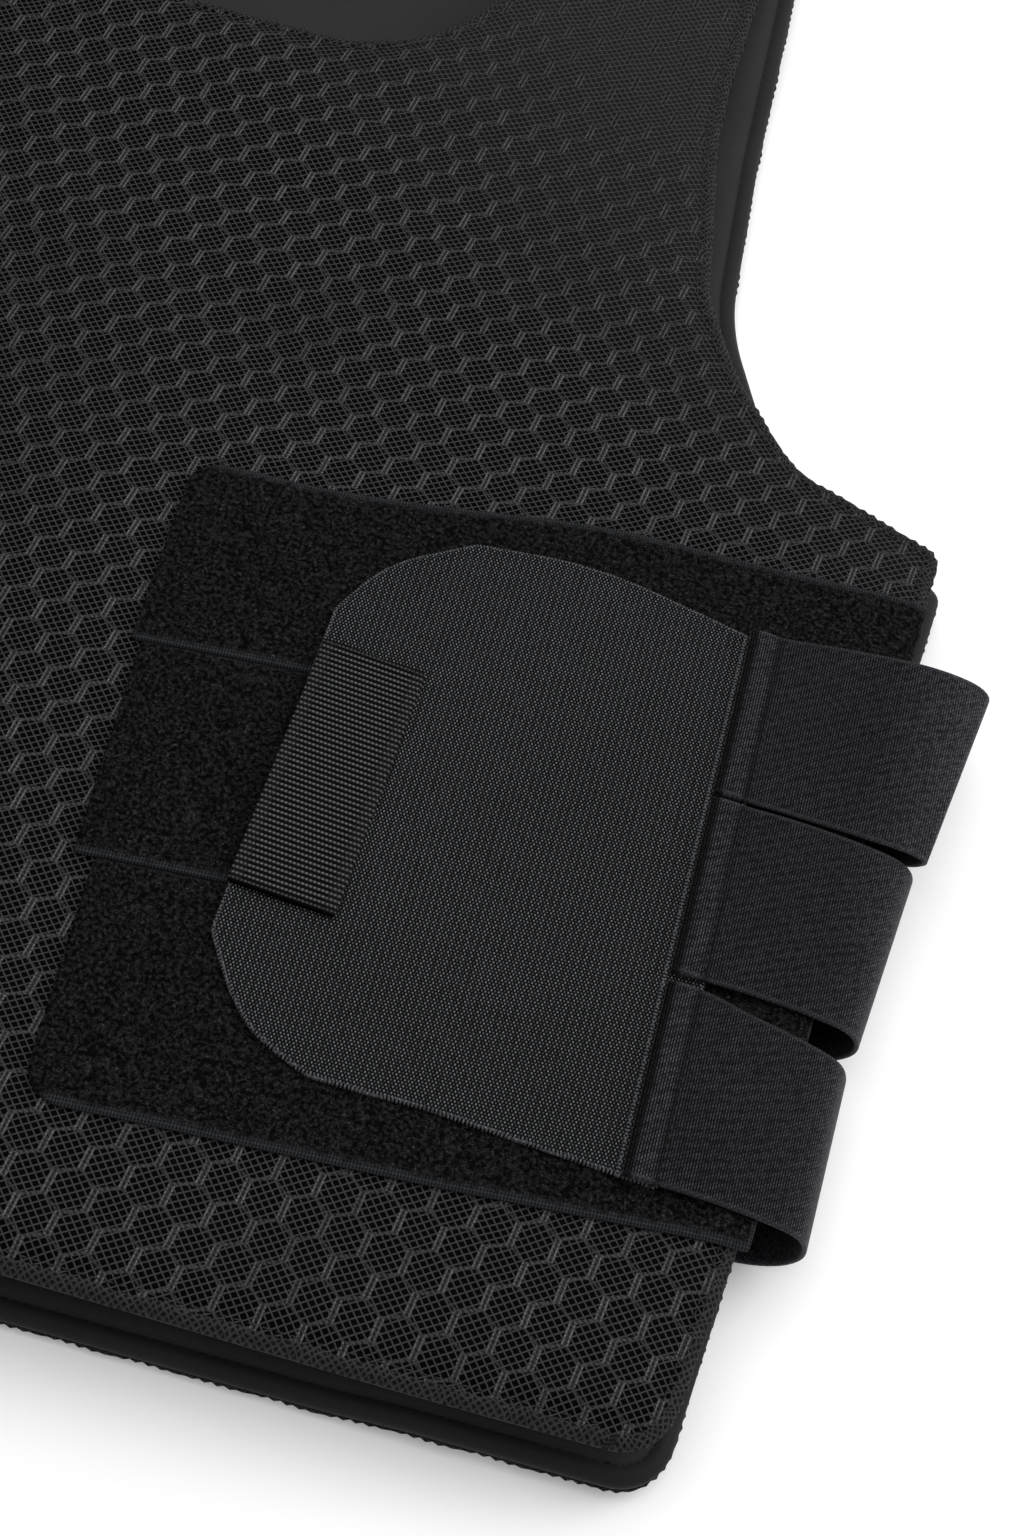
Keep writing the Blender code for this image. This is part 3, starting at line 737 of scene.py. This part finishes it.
def ribbed_webbing():
    """Webbing of fine ribs across its width, with plain woven edges."""
    g = Graph("ribbed_webbing", roughness=0.5, specular=0.03)
    along, across = g.place("cloth")
    rib = g.wave(along, TAB_RIB)
    columns = g.wave(across + g.odd(along / TAB_RIB + 0.5) * (TAB_BEAD / 2), TAB_BEAD)
    side = g.ramp(abs(across), TAB_WIDTH / 2 - TAB_SELVEDGE - 0.4, TAB_WIDTH / 2 - TAB_SELVEDGE)
    bead = g.ramp(rib, 0.38, 0.9) * (0.12 + columns * 0.85)
    flat = g.wave(along * 0.5 + across, 1.0) * 0.6 + rib * 0.4
    lines = g.ramp(abs(abs(across) - TAB_WIDTH / 2 + TAB_SELVEDGE), 0.35, 0.1)
    tone = bead * (1.0 - side) + (bead * 0.75 + flat * 0.06) * side
    tone = tone * (1.0 - lines * 0.35)
    ends = g.ramp(abs(along), TAB_LENGTH / 2 - 1.6, TAB_LENGTH / 2 - 0.5)
    fuzz = g.noise(1.3, detail=3.0)
    tone = tone * (1.0 - ends * 0.75) * (0.75 + fuzz * 0.5)
    colour = g.blend((0.0006, 0.0007, 0.0007), (0.125, 0.132, 0.127), tone)
    return g.finish(colour, bead * 0.8 + fuzz * 0.2, 0.3)


def knitted_elastic():
    """Black knitted elastic with fine dotted ribs across its width and firm edges, painted sheen
    towards its fold, and a painted highlight and shadow along its sewn band.
    """
    g = Graph("knitted_elastic", roughness=0.6, specular=0.04, sheen=0.12, sheen_roughness=0.25)
    along, across = g.place("cloth")
    depth, _ = g.place("edge")
    wander = g.noise(6.0, detail=1.0) - 0.5
    ribs = (along + wander * 0.15) / ELASTIC_RIB
    rib = g.wave(ribs, 1.0)
    dots = g.wave(across + g.odd(ribs + 0.5) * (ELASTIC_DOT / 2), ELASTIC_DOT)
    stitch = g.ramp(rib, 0.1, 0.9) * (0.4 + g.ramp(dots, 0.05, 0.8) * 0.6)
    rim = g.ramp(depth, 1.3, 0.8)
    # Painted shadow: seam darkens a step along the sewn band's edge by the patch, and a line in the
    # stitched groove before the strap.
    seam = g.ramp(along, 2.4, 1.4) + g.ramp(abs(along - SEAM_ALLOWANCE + 0.8), 1.5, 0.0) * 0.7
    cloud = g.noise(30.0, detail=3.0)
    lint = g.ramp(g.noise(0.9, detail=3.0, distortion=1.0), 0.74, 0.8) * 0.6
    pick = g.ramp(g.noise(1.2, detail=2.0), 0.36, 0.64)
    twill = g.wave(along * 0.5 + across + wander, 2.5)
    yarn = stitch * (0.1 + cloud * 0.22 + pick * 0.4 + twill * 0.26)
    tone = g.most(yarn, rim * (0.2 + dots * 0.2), lint)
    # Painted sheen: fold makes the strap lighter towards its fold, and where its surface stands
    # steep, for light grazing the fibres there.
    fold = g.ramp(along, 34.0, 64.0) * g.ramp(along, 94.0, 70.0)
    fold = fold * 0.6 + g.steepness() * 0.4
    tone = tone * (0.85 + fold * 0.7) + fold * (0.1 + pick * 0.2)
    # Painted highlight: tube makes the middle of the raised sewn band lighter.
    tube = g.ramp(along, 1.8, 3.2) * g.ramp(along, SEAM_ALLOWANCE - 1.2, SEAM_ALLOWANCE - 2.8)
    tone = tone * (1.0 + tube * 0.5)
    # Applies the painted shadow of seam.
    tone = tone * (1.0 - g.least(seam, 1.0) * 0.75)
    colour = g.blend((0.0008, 0.0007, 0.001), (0.068, 0.068, 0.079), tone)
    return g.finish(colour, stitch * 0.8 + rim * 0.4, 0.16)


def sewing_thread():
    """Dark twisted sewing thread."""
    g = Graph("sewing_thread", roughness=0.5, specular=0.1)
    along, across = g.place("cloth")
    twist = g.wave(along + across, 0.4)
    colour = g.blend((0.006, 0.006, 0.008), (0.04, 0.041, 0.048), twist)
    return g.finish(colour, twist, 0.05)


def floor_paint():
    """Plain pale floor."""
    g = Graph("pale_floor", roughness=0.9, specular=0.1)
    g.shader.inputs["Emission Color"].default_value = (1.0, 1.0, 1.0, 1.0)
    g.shader.inputs["Emission Strength"].default_value = 0.12
    cloud = g.noise(300.0, detail=2.0)
    colour = g.blend((0.86, 0.86, 0.86), (0.9, 0.9, 0.9), cloud)
    return g.finish(colour, cloud, 0.05)


FINISH = {
    "mesh": (spacer_mesh(), "mesh"),
    "lining": (panel_lining(), "lining"),
    "loop": (loop_pile(), "loop"),
    "patch": (patch_weave(), "patch"),
    "webbing": (ribbed_webbing(), "webbing"),
    "elastic": (knitted_elastic(), "elastic"),
    "thread": (sewing_thread(), "webbing"),
}


# ---- Panels -------------------------------------------------------------------------------------


def bumpy(outline):
    """An outline with the small bumps of a stitched, rolled edge."""
    places = lengths_along(outline)
    bumps = EDGE_BUMP * swell(places, EDGE_BUMP_PITCH) - EDGE_BUMP
    bumps += 0.2 * np.sin(places * 0.31) * np.sin(places * 0.073)
    return outline + outward(outline) * bumps[:, None]


def cut_area(outline):
    """Area inside a closed outline, in square millimetres."""
    following = np.roll(outline, -1, axis=0)
    return abs((outline[:, 0] * following[:, 1] - outline[:, 1] * following[:, 0]).sum()) / 2


def declare_sheet(outline):
    """Works out the flat size and area of a sheet from its outline in millimetres; nothing uses
    them.
    """
    size = (outline.max(0) - outline.min(0)) * MM
    area = cut_area(outline) * MM * MM


MESH_RINGS = (0.25, 0.7, 1.4, 2.2, 3.0, 3.8, 4.6, 5.6)
BACK_MESH_RINGS = (0.4, 1.2, 2.4)
PACK_RINGS = (0.4, 1.2, 2.4, 3.8, 4.8, 6.0, 9.0)


def make_panels():
    """Both panels: a padded pack in its lining, with mesh over it. Gives the front's outline."""

    def front_mesh_top(flat, depth, place):
        knit = KNIT_RELIEF * (knit_relief(*flat.T) - 0.6) * smooth((depth - 6.0) / 3.0)
        return front_cloth(flat, depth) + rolled_edge(depth, place) + knit

    def front_mesh_bottom(flat, depth, place):
        return front_cloth(flat, depth) - MESH_THICKNESS + 0.7 * near_edge(depth, 2.0)

    def front_pack_top(flat, depth, place):
        return front_cloth(flat, depth) - MESH_THICKNESS - GAP - 0.5 * near_edge(depth, 3.0)

    def front_pack_bottom(flat, depth, place):
        face = front_face(*flat.T) - MESH_THICKNESS - GAP - PACK_THICKNESS
        seam = 0.5 * ridge(depth, LINING_SEAM, 0.9)
        return face + LINING_RIM_DROP * rim_fall(depth) + seam + ripple(*flat.T) * 0.5

    def back_mesh_top(flat, depth, place):
        return back_cloth(flat, depth) + MESH_THICKNESS - 0.9 * near_edge(depth, 2.0)

    def back_mesh_bottom(flat, depth, place):
        knit = KNIT_RELIEF * (1.0 - knit_relief(*flat.T)) * smooth((depth - 6.0) / 3.0)
        return back_cloth(flat, depth) + knit + 0.9 * near_edge(depth, 2.0)

    def back_pack_top(flat, depth, place):
        face = back_face(*flat.T) + MESH_THICKNESS + GAP + PACK_THICKNESS
        bound = 0.35 * smooth((4.6 - depth) / 1.0) - near_edge(depth, 1.6)
        seam = -0.55 * ridge(depth, LINING_SEAM, 0.8)
        return face - LINING_RIM_DROP * rim_fall(depth) + bound + seam

    def back_pack_bottom(flat, depth, place):
        return back_cloth(flat, depth) + MESH_THICKNESS + GAP

    front = rounded_outline(both_halves(FRONT_CORNERS), 1.5)
    back = rounded_outline(both_halves(BACK_CORNERS), 1.5)
    made = sheet_piece(
        "front_mesh_cloth", bumpy(front), MESH_RINGS, (1.8, 9.0),
        (front_mesh_top, front_mesh_bottom), "mesh", "front_mesh",
    )
    declare_sheet(front)
    made = sheet_piece(
        "front_pack", front - outward(front) * 0.9, PACK_RINGS, (7.0, 7.0),
        (front_pack_top, front_pack_bottom), "lining", "front_panel",
    )
    made = sheet_piece(
        "back_mesh_cloth", bumpy(back), BACK_MESH_RINGS, (5.0, 2.8),
        (back_mesh_top, back_mesh_bottom), "mesh", "back_mesh",
    )
    declare_sheet(back)
    made = sheet_piece(
        "back_pack", back - outward(back) * 0.5, PACK_RINGS, (5.0, 7.0),
        (back_pack_top, back_pack_bottom), "lining", "back_panel",
    )
    return front


# ---- Closures -----------------------------------------------------------------------------------


def top_bow(x):
    """How far the first strip's upper edge bows up from its straight line."""
    near = [np.interp(np.abs(x) + shift, TOP_BOW_X, TOP_BOW) for shift in TOP_BOW_SPREAD]
    return sum(near) / len(near)


def strip_outline(index, step):
    """Outline of a loop strip, counted from the neck end, as it lies on the wearer's left."""
    above, below = STRIP_EDGES[index], STRIP_EDGES[index + 1]
    end = STRIP_ENDS[index]
    last = len(STRIP_ENDS) - 1
    top_gap, top_radius = (LOOP_BUTT_GAP / 2, 1.0) if index > 0 else (0.0, LOOP_CORNER_RADIUS)
    low_gap, low_radius = (LOOP_BUTT_GAP / 2, 1.0) if index < last else (0.0, LOOP_CORNER_RADIUS)

    def corner(edge, x, gap, radius):
        return Corner(x, edge.y + edge.climb * (x - LOOP_INNER_X) + gap, radius)

    def side_x(edge):
        return LOOP_SIDE_X + LOOP_SIDE_SLOPE * edge.y

    turns_at = (
        corner(below, end.low_x, low_gap, low_radius),
        corner(below, side_x(below), low_gap, 1.0),
        corner(above, side_x(above), -top_gap, 1.0),
        corner(above, end.top_x, -top_gap, top_radius),
    )
    outline = rounded_outline(turns_at, step)
    if index == 0:
        x, y = outline.T
        low = below.y + below.climb * (x - LOOP_INNER_X)
        high = above.y + above.climb * (x - LOOP_INNER_X)
        outline[:, 1] += top_bow(x) * smooth((y - low) / (high - low))
    return outline


def make_loop_strip(index, side, outline, on_front):
    """A strip of loop tape, whose side end droops over the front panel's rim."""
    above, below = STRIP_EDGES[index], STRIP_EDGES[index + 1]

    def to_selvedge(flat):
        x, y = np.abs(flat[:, 0]), flat[:, 1]
        bow = top_bow(x) if index == 0 else 1.5
        upper = above.y + above.climb * (x - LOOP_INNER_X) - y + bow
        lower = y - below.y - below.climb * (x - LOOP_INNER_X)
        return np.column_stack((np.minimum(upper, lower), x))

    def droop(flat):
        to_end = LOOP_SIDE_X + LOOP_SIDE_SLOPE * flat[:, 1] - np.abs(flat[:, 0])
        return STRIP_DROOP * near_edge(to_end, STRIP_DROOP_LENGTH)

    def top(flat, depth, place):
        x, y = flat.T
        tufts = np.sin(x * 1.9 + np.sin(y * 0.8) * 1.7) * np.sin(y * 1.7 + np.sin(x * 0.9) * 1.4)
        edge_fall = 0.45 * near_edge(depth, 0.7)
        selvedge = 0.4 * smooth((SELVEDGE + 0.2 - to_selvedge(flat)[:, 0]) / 1.6)
        face = on_front(flat, GAP + LOOP_THICKNESS) + 0.07 * tufts
        return face - edge_fall - selvedge - droop(flat)

    def bottom(flat, depth, place):
        return on_front(flat, GAP) - droop(flat)

    made = sheet_piece(
        f"loop_tape_{side}_{index + 1}", outline, (0.3, 0.8, 1.6, 2.4, 3.2), (1.3, 8.0),
        (top, bottom), "loop", f"loop_strip_{side}_{index + 1}", edge_map=to_selvedge,
    )
    declare_sheet(outline)


def make_closure(side, sign, front_edge):
    """The loop strips, the hook patch and its pull tab on one side of the front panel."""

    def on_front(flat, base):
        rim = RIM_DROP * rim_fall(front_edge.measure(flat)[0])
        return front_face(*flat.T) - LOOP_RIM_SHARE * rim + base

    def mirrored(outline):
        return (outline * (sign, 1.0))[:: int(sign)]

    for index in range(len(STRIP_ENDS)):
        outline = mirrored(strip_outline(index, 1.6))
        make_loop_strip(index, side, outline, on_front)

    patch_base = GAP + LOOP_THICKNESS + GAP
    outline = mirrored(rounded_outline(PATCH_CORNERS, 1.5))

    def patch_lift(flat):
        x, y = np.abs(flat[:, 0]), flat[:, 1]
        return 0.12 * np.sin(x * 0.07 + y * 0.05) + 0.1 * np.sin(y * 0.11 - x * 0.04 + 1.0)

    def patch_top(flat, depth, place):
        edge_fall = 0.4 * near_edge(depth, 0.9)
        bulge = 0.12 * ridge(depth, 1.6, 0.8)
        return on_front(flat, patch_base + PATCH_THICKNESS) + patch_lift(flat) - edge_fall + bulge

    def patch_bottom(flat, depth, place):
        return on_front(flat, patch_base) + patch_lift(flat) * 0.5

    made = sheet_piece(
        f"hook_patch_cloth_{side}", outline, (0.3, 0.8, 1.6, 2.6), (2.4, 6.0),
        (patch_top, patch_bottom), "patch", f"hook_patch_{side}",
    )
    declare_sheet(outline)

    half = np.array(((-1, -1), (1, -1), (1, 1), (-1, 1))) * (TAB_WIDTH / 2, TAB_LENGTH / 2)
    cosine, sine = math.cos(TAB_TURN), math.sin(TAB_TURN)
    turn = np.array(((cosine, sine), (-sine, cosine)))
    places = half @ turn + (TAB_CENTRE_X, TAB_CENTRE_Y)
    outline = mirrored(rounded_outline([Corner(*place, 0.8) for place in places], 0.8))
    tab_base = patch_base + PATCH_THICKNESS + GAP

    def tab_map(flat):
        own = (flat * (sign, 1.0) - (TAB_CENTRE_X, TAB_CENTRE_Y)) @ turn.T
        return own[:, ::-1]

    def tab_top(flat, depth, place):
        along, across = np.abs(tab_map(flat).T)
        to_line = across - TAB_WIDTH / 2 + TAB_SELVEDGE
        to_end = TAB_LENGTH / 2 - along
        ribs = 0.14 * swell(along, TAB_RIB) * (1.0 - 0.6 * smooth(to_line / 0.6))
        beads = 0.05 * swell(across, TAB_BEAD)
        lines = 0.08 * ridge(to_line, 0.0, 0.35) + 0.12 * ridge(to_end, 3.4, 0.5)
        face = on_front(flat, tab_base + TAB_THICKNESS) + ribs + beads - lines
        return face - 0.35 * near_edge(depth, 0.5)

    def tab_bottom(flat, depth, place):
        return on_front(flat, tab_base)

    made = sheet_piece(
        f"pull_tab_cloth_{side}", outline, (0.25, 0.6), (0.42, 5.0), (tab_top, tab_bottom),
        "webbing", f"pull_tab_{side}", cloth_map=tab_map,
    )


# ---- Straps -------------------------------------------------------------------------------------


def at_lengths(path, lengths, wanted):
    """Points of a path at the wanted distances along it."""
    return np.stack([np.interp(wanted, lengths, column) for column in path.T], axis=1)


def smooth_path(controls, count):
    """Points evenly spaced along a Catmull-Rom curve through the controls."""
    controls = np.asarray(controls, float)
    padded = np.vstack((2 * controls[0] - controls[1], controls, 2 * controls[-1] - controls[-2]))
    fine = []
    for index in range(len(controls) - 1):
        p0, p1, p2, p3 = padded[index : index + 4]
        t = np.linspace(0.0, 1.0, 24, endpoint=False)[:, None]
        cubic = (3 * p1 - p0 - 3 * p2 + p3) * t**3
        fine.append(0.5 * (2 * p1 + (p2 - p0) * t + (2 * p0 - 5 * p1 + 4 * p2 - p3) * t**2 + cubic))
    fine = np.concatenate([*fine, controls[-1:]])
    lengths = lengths_along(fine)
    return at_lengths(fine, lengths, np.linspace(0.0, lengths[-1], count))


def parts_across(width, step):
    """Places across a band from nought to one, closer together at its two edges."""
    rim = np.array((0.0, 0.2, 0.55, 1.1, 1.8)) / width
    middle = np.linspace(rim[-1], 1.0 - rim[-1], max(3, round(width / step)))
    return np.concatenate((rim[:-1], middle, (1.0 - rim[:-1])[::-1]))


def side_strap_rows(strap, parts, count):
    """Middle surface of a left side strap, in rows from its top edge to its bottom edge."""
    loop_top = GAP + LOOP_THICKNESS
    patch_top = loop_top + GAP + PATCH_THICKNESS
    floor = FLOOR_CLEARANCE + STRAP_THICKNESS / 2
    rows = []
    for part in parts:
        y = SEWN_TOP_Y + strap.top + (strap.bottom - strap.top) * part
        fold = strap.fold_top + (strap.fold_bottom - strap.fold_top) * part
        lift = strap.lift_top + (strap.lift_bottom - strap.lift_top) * part
        flare = strap.flare * (1.0 - part)
        face = front_face(SEWN_X, y)
        on_patch = face + patch_top + GAP + BAND_THICKNESS / 2
        front_run = face + loop_top + GAP + STRAP_THICKNESS / 2 + FRONT_RUN_RISE

        def station_at(station, base, height):
            return (
                SEWN_X + station.reach * fold,
                y + station.flare * flare + station.drift * strap.drift,
                base + station.level * height + station.bow * lift,
            )

        over = front_run - strap.fold_height
        under = strap.fold_height - floor
        controls = [(SEWN_X, y, on_patch), (SEWN_X + BAND_WIDTH, y, on_patch - BAND_END_DIP)]
        controls += [station_at(station, strap.fold_height, over) for station in FRONT_RUN]
        controls += [station_at(station, floor, under) for station in BACK_RUN]
        controls.append((BACK_END_X, y + strap.drift, floor))
        rows.append(smooth_path(controls, count))
    return np.array(rows)


def on_side(points, faces, sign):
    """What lies on the wearer's left, or its mirror image where the sign is minus."""
    if sign > 0:
        return points, faces
    return points * (-1.0, 1.0, 1.0), [face[::-1] for face in faces]


def band_piece(name, middles, width, thickness, sign, node):
    """A band from rows of points along its middle surface: rows run across it, columns along it."""
    along = np.linalg.norm(np.diff(middles, axis=1), axis=2)
    along = np.concatenate((np.zeros((len(middles), 1)), np.cumsum(along, axis=1)), axis=1)
    side = np.linalg.norm(np.diff(middles, axis=0), axis=2)
    side = np.concatenate((np.zeros((1, middles.shape[1])), np.cumsum(side, axis=0)), axis=0)
    normal = np.cross(np.gradient(middles, axis=1), np.gradient(middles, axis=0))
    normal /= np.linalg.norm(normal, axis=2)[..., None]
    depth = np.minimum(side, side[-1:] - side)
    rounded = 0.4 + 0.6 * np.sqrt(np.clip(1.0 - (1.0 - np.minimum(depth / 0.6, 1.0)) ** 2, 0, 1))
    half = thickness(along, side) * rounded / 2
    offset = normal * half[..., None]
    rows, columns = middles.shape[:2]
    points = np.concatenate(((middles + offset).reshape(-1, 3), (middles - offset).reshape(-1, 3)))
    below = rows * columns
    grid = np.arange(below).reshape(rows, columns)
    a, b = grid[:-1, :-1].ravel(), grid[:-1, 1:].ravel()
    c, d = grid[1:, 1:].ravel(), grid[1:, :-1].ravel()
    faces = np.stack((a, b, c, d), axis=1).tolist()
    faces += (np.stack((a, d, c, b), axis=1) + below).tolist()
    around = np.concatenate((grid[0, :-1], grid[:-1, -1], grid[-1, :0:-1], grid[:0:-1, 0]))
    after = np.roll(around, -1)
    faces += np.stack((after, around, around + below, after + below), axis=1).tolist()
    points, faces = on_side(points, faces, sign)
    maps = {
        "cloth": np.tile(np.column_stack((along.ravel(), side.ravel())), (2, 1)),
        "edge": np.tile(np.column_stack((depth.ravel(), along.ravel())), (2, 1)),
    }
    made = piece(name, points, faces, maps, *FINISH["elastic"], [node])
    width * MM


def stitches(name, path, pitch, length, radius, sign=1.0):
    """A row of sewn stitches along a path, each a short thread that dips at both its ends."""
    path = np.asarray(path, float)
    places = lengths_along(path)
    points, faces, cloth = [], [], []
    turns = np.linspace(0.0, 2 * math.pi, 7)[:-1]
    arch = np.array((-0.9, 0.15, 0.5, 0.15, -0.9)) * radius
    widths = np.array((0.35, 0.9, 1.0, 0.9, 0.35)) * radius
    for start in np.arange(pitch / 2, places[-1] - length, pitch):
        wanted = start + np.linspace(0.0, length, 5)
        spine = at_lengths(path, places, wanted)
        ahead = np.gradient(spine, axis=0)
        ahead /= np.linalg.norm(ahead, axis=1)[:, None]
        beside = np.cross(ahead, UP)
        first = len(points)
        for centre, side, rise, wide, place in zip(spine, beside, arch, widths, wanted):
            for turn in turns:
                spoke = math.cos(turn) * side + math.sin(turn) * UP
                points.append(centre + UP * rise + spoke * wide)
                cloth.append((place, turn * 0.1))
        for ring in range(4):
            for spoke in range(6):
                a = first + ring * 6 + spoke
                b = first + ring * 6 + (spoke + 1) % 6
                faces.append((a, b, b + 6, a + 6))
        faces.append(tuple(first + spoke for spoke in reversed(range(6))))
        faces.append(tuple(first + 24 + spoke for spoke in range(6)))
    points, faces = on_side(np.array(points), faces, sign)
    piece(name, points, faces, {"cloth": np.array(cloth)}, *FINISH["thread"], ())


def sewn_band(along, across):
    """Thickness of a side strap, whose sewn end is a puckered tube behind a stitched groove."""
    puckers = 0.16 * np.sin(across * 1.15 + 0.9 * np.sin(across * 0.37))
    tube = np.clip(along / (BAND_WIDTH - 1.2), 0.0, 1.0)
    tube = np.sin(tube**0.7 * math.pi) ** 0.6 * (1.6 + puckers)
    return STRAP_THICKNESS + tube - 0.45 * ridge(along, BAND_STITCHES, 0.6)


def even_band(along, across):
    """Thickness of a shoulder strap."""
    return np.full(along.shape, STRAP_THICKNESS)


def make_side_straps(side, sign):
    """The three elastic straps of one side, with the stitches across their sewn ends."""
    for index, strap in enumerate(SIDE_STRAPS, 1):
        width = strap.top - strap.bottom
        rows = side_strap_rows(strap, parts_across(width, 1.9), 130)
        name = f"side_elastic_{side}_{index}"
        band_piece(name, rows, width, sewn_band, sign, f"side_strap_{side}_{index}")
        column = int(np.searchsorted(lengths_along(rows[len(rows) // 2]), BAND_STITCHES))
        line = rows[2:-2, column] + UP * 0.5
        stitches(f"band_stitches_{side}_{index}", line, 2.4, 1.7, 0.2, sign)


def make_shoulder_strap(side, sign):
    """A strap over the shoulder, from the front panel's face to the back panel's underside."""
    rows = []
    floor = FLOOR_CLEARANCE + STRAP_THICKNESS / 2
    fold_y = (LENGTH - STRAP_THICKNESS) / 2
    for part in parts_across(SHOULDER_STRAP_WIDTH, 2.0) - 0.5:
        x = SHOULDER_STRAP_X + part * SHOULDER_STRAP_WIDTH
        face = front_face(x, fold_y - SHOULDER_STRAP_REACH) + GAP + STRAP_THICKNESS / 2
        controls = [(x, fold_y - s.back, floor + s.level * (face - floor)) for s in SHOULDER_RUN]
        rows.append(smooth_path(controls, 100))
    rows = np.array(rows)
    band_piece(
        f"shoulder_elastic_{side}", rows, SHOULDER_STRAP_WIDTH, even_band, sign,
        f"shoulder_strap_{side}",
    )
    to_seam = SHOULDER_STRAP_WIDTH / 2 - SHOULDER_SEAM_INSET
    inner_x, outer_x = SHOULDER_STRAP_X - to_seam, SHOULDER_STRAP_X + to_seam
    low_y = fold_y - SHOULDER_STRAP_REACH + SHOULDER_SEAM_INSET
    high_y = low_y + SHOULDER_SEAM_LENGTH
    box = [(inner_x, low_y), (outer_x, low_y), (outer_x, high_y), (inner_x, high_y)]
    box += [(inner_x, low_y), (outer_x, high_y), (inner_x, high_y), (outer_x, low_y)]
    path = []
    for (x0, y0), (x1, y1) in zip(box, box[1:]):
        steps = max(2, round(math.hypot(x1 - x0, y1 - y0)))
        for step in range(steps):
            x, y = x0 + (x1 - x0) * step / steps, y0 + (y1 - y0) * step / steps
            face = front_face(x, fold_y - SHOULDER_STRAP_REACH) + GAP + STRAP_THICKNESS + 0.08
            path.append((x, y, face))
    stitches(f"shoulder_stitches_{side}", path, 3.0, 2.3, 0.22, sign)


def make_edge_stitches(front, front_edge):
    """The row of stitches in the groove behind the front panel's rolled edge."""
    line = front - outward(front) * ROLL_WIDTH
    line = line[front_edge.measure(line)[0] > ROLL_WIDTH * 0.96]
    path = np.column_stack((line, front_cloth(line, ROLL_WIDTH) - GROOVE_DEPTH + 0.12))
    stitches("edge_stitches", path, EDGE_BUMP_PITCH, 2.3, 0.22)


# ---- Scene --------------------------------------------------------------------------------------


def make_floor():
    size, count = 6.0, 12
    places = np.linspace(-size / 2, size / 2, count + 1)
    mesh = bpy.data.meshes.new("floor")
    points = [(x, y, 0.0) for y in places for x in places]
    row = count + 1
    faces = [
        (i * row + j, i * row + j + 1, (i + 1) * row + j + 1, (i + 1) * row + j)
        for i in range(count)
        for j in range(count)
    ]
    mesh.from_pydata(points, [], faces)
    mesh.materials.append(floor_paint())
    linked("floor", mesh)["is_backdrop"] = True


def make_light(name, place, target, size, watts):
    data = bpy.data.lights.new(name, "AREA")
    data.shape = "RECTANGLE"
    data.size, data.size_y = size
    data.energy = watts
    made = linked(name, data)
    made.location = place
    aim = Vector(target) - Vector(place)
    made.rotation_euler = aim.to_track_quat("-Z", "Y").to_euler()


def make_camera():
    data = bpy.data.cameras.new("camera")
    data.lens = 59.5
    data.sensor_width = 36.0
    data.clip_start = 0.01
    data.clip_end = 20.0
    made = linked("camera", data)
    right = (0.96439, 0.24036, 0.11042)
    up = (-0.26362, 0.83945, 0.47525)
    back = (0.02154, -0.48743, 0.8729)
    turn = Matrix((right, up, back)).transposed()
    made.matrix_world = Matrix.Translation((0.1456, -0.4087, 0.5873)) @ turn.to_4x4()
    bpy.context.scene.camera = made


def make_studio():
    make_floor()
    make_light("overhead", (0.1, 0.2, 1.7), (0.0, -0.05, 0.0), (1.8, 1.8), 18.0)
    make_light("side", (1.3, 0.5, 0.9), (0.1, -0.1, 0.0), (1.0, 1.2), 11.0)
    world = bpy.data.worlds.new("studio")
    world.use_nodes = True
    sky = world.node_tree.nodes["Background"]
    sky.inputs["Color"].default_value = (1.0, 1.0, 1.0, 1.0)
    sky.inputs["Strength"].default_value = 0.52
    bpy.context.scene.world = world
    bpy.context.scene.view_settings.view_transform = "Standard"
    make_camera()


def main():
    front = make_panels()
    front_edge = Edge(front)
    for side, sign in SIDES:
        make_closure(side, sign, front_edge)
        make_side_straps(side, sign)
        make_shoulder_strap(side, sign)
    make_edge_stitches(front, front_edge)
    make_studio()
    boxes = {"cad": cad_box, "visual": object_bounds()}
    boxes = {name: [list(map(float, corner)) for corner in box] for name, box in boxes.items()}


main()
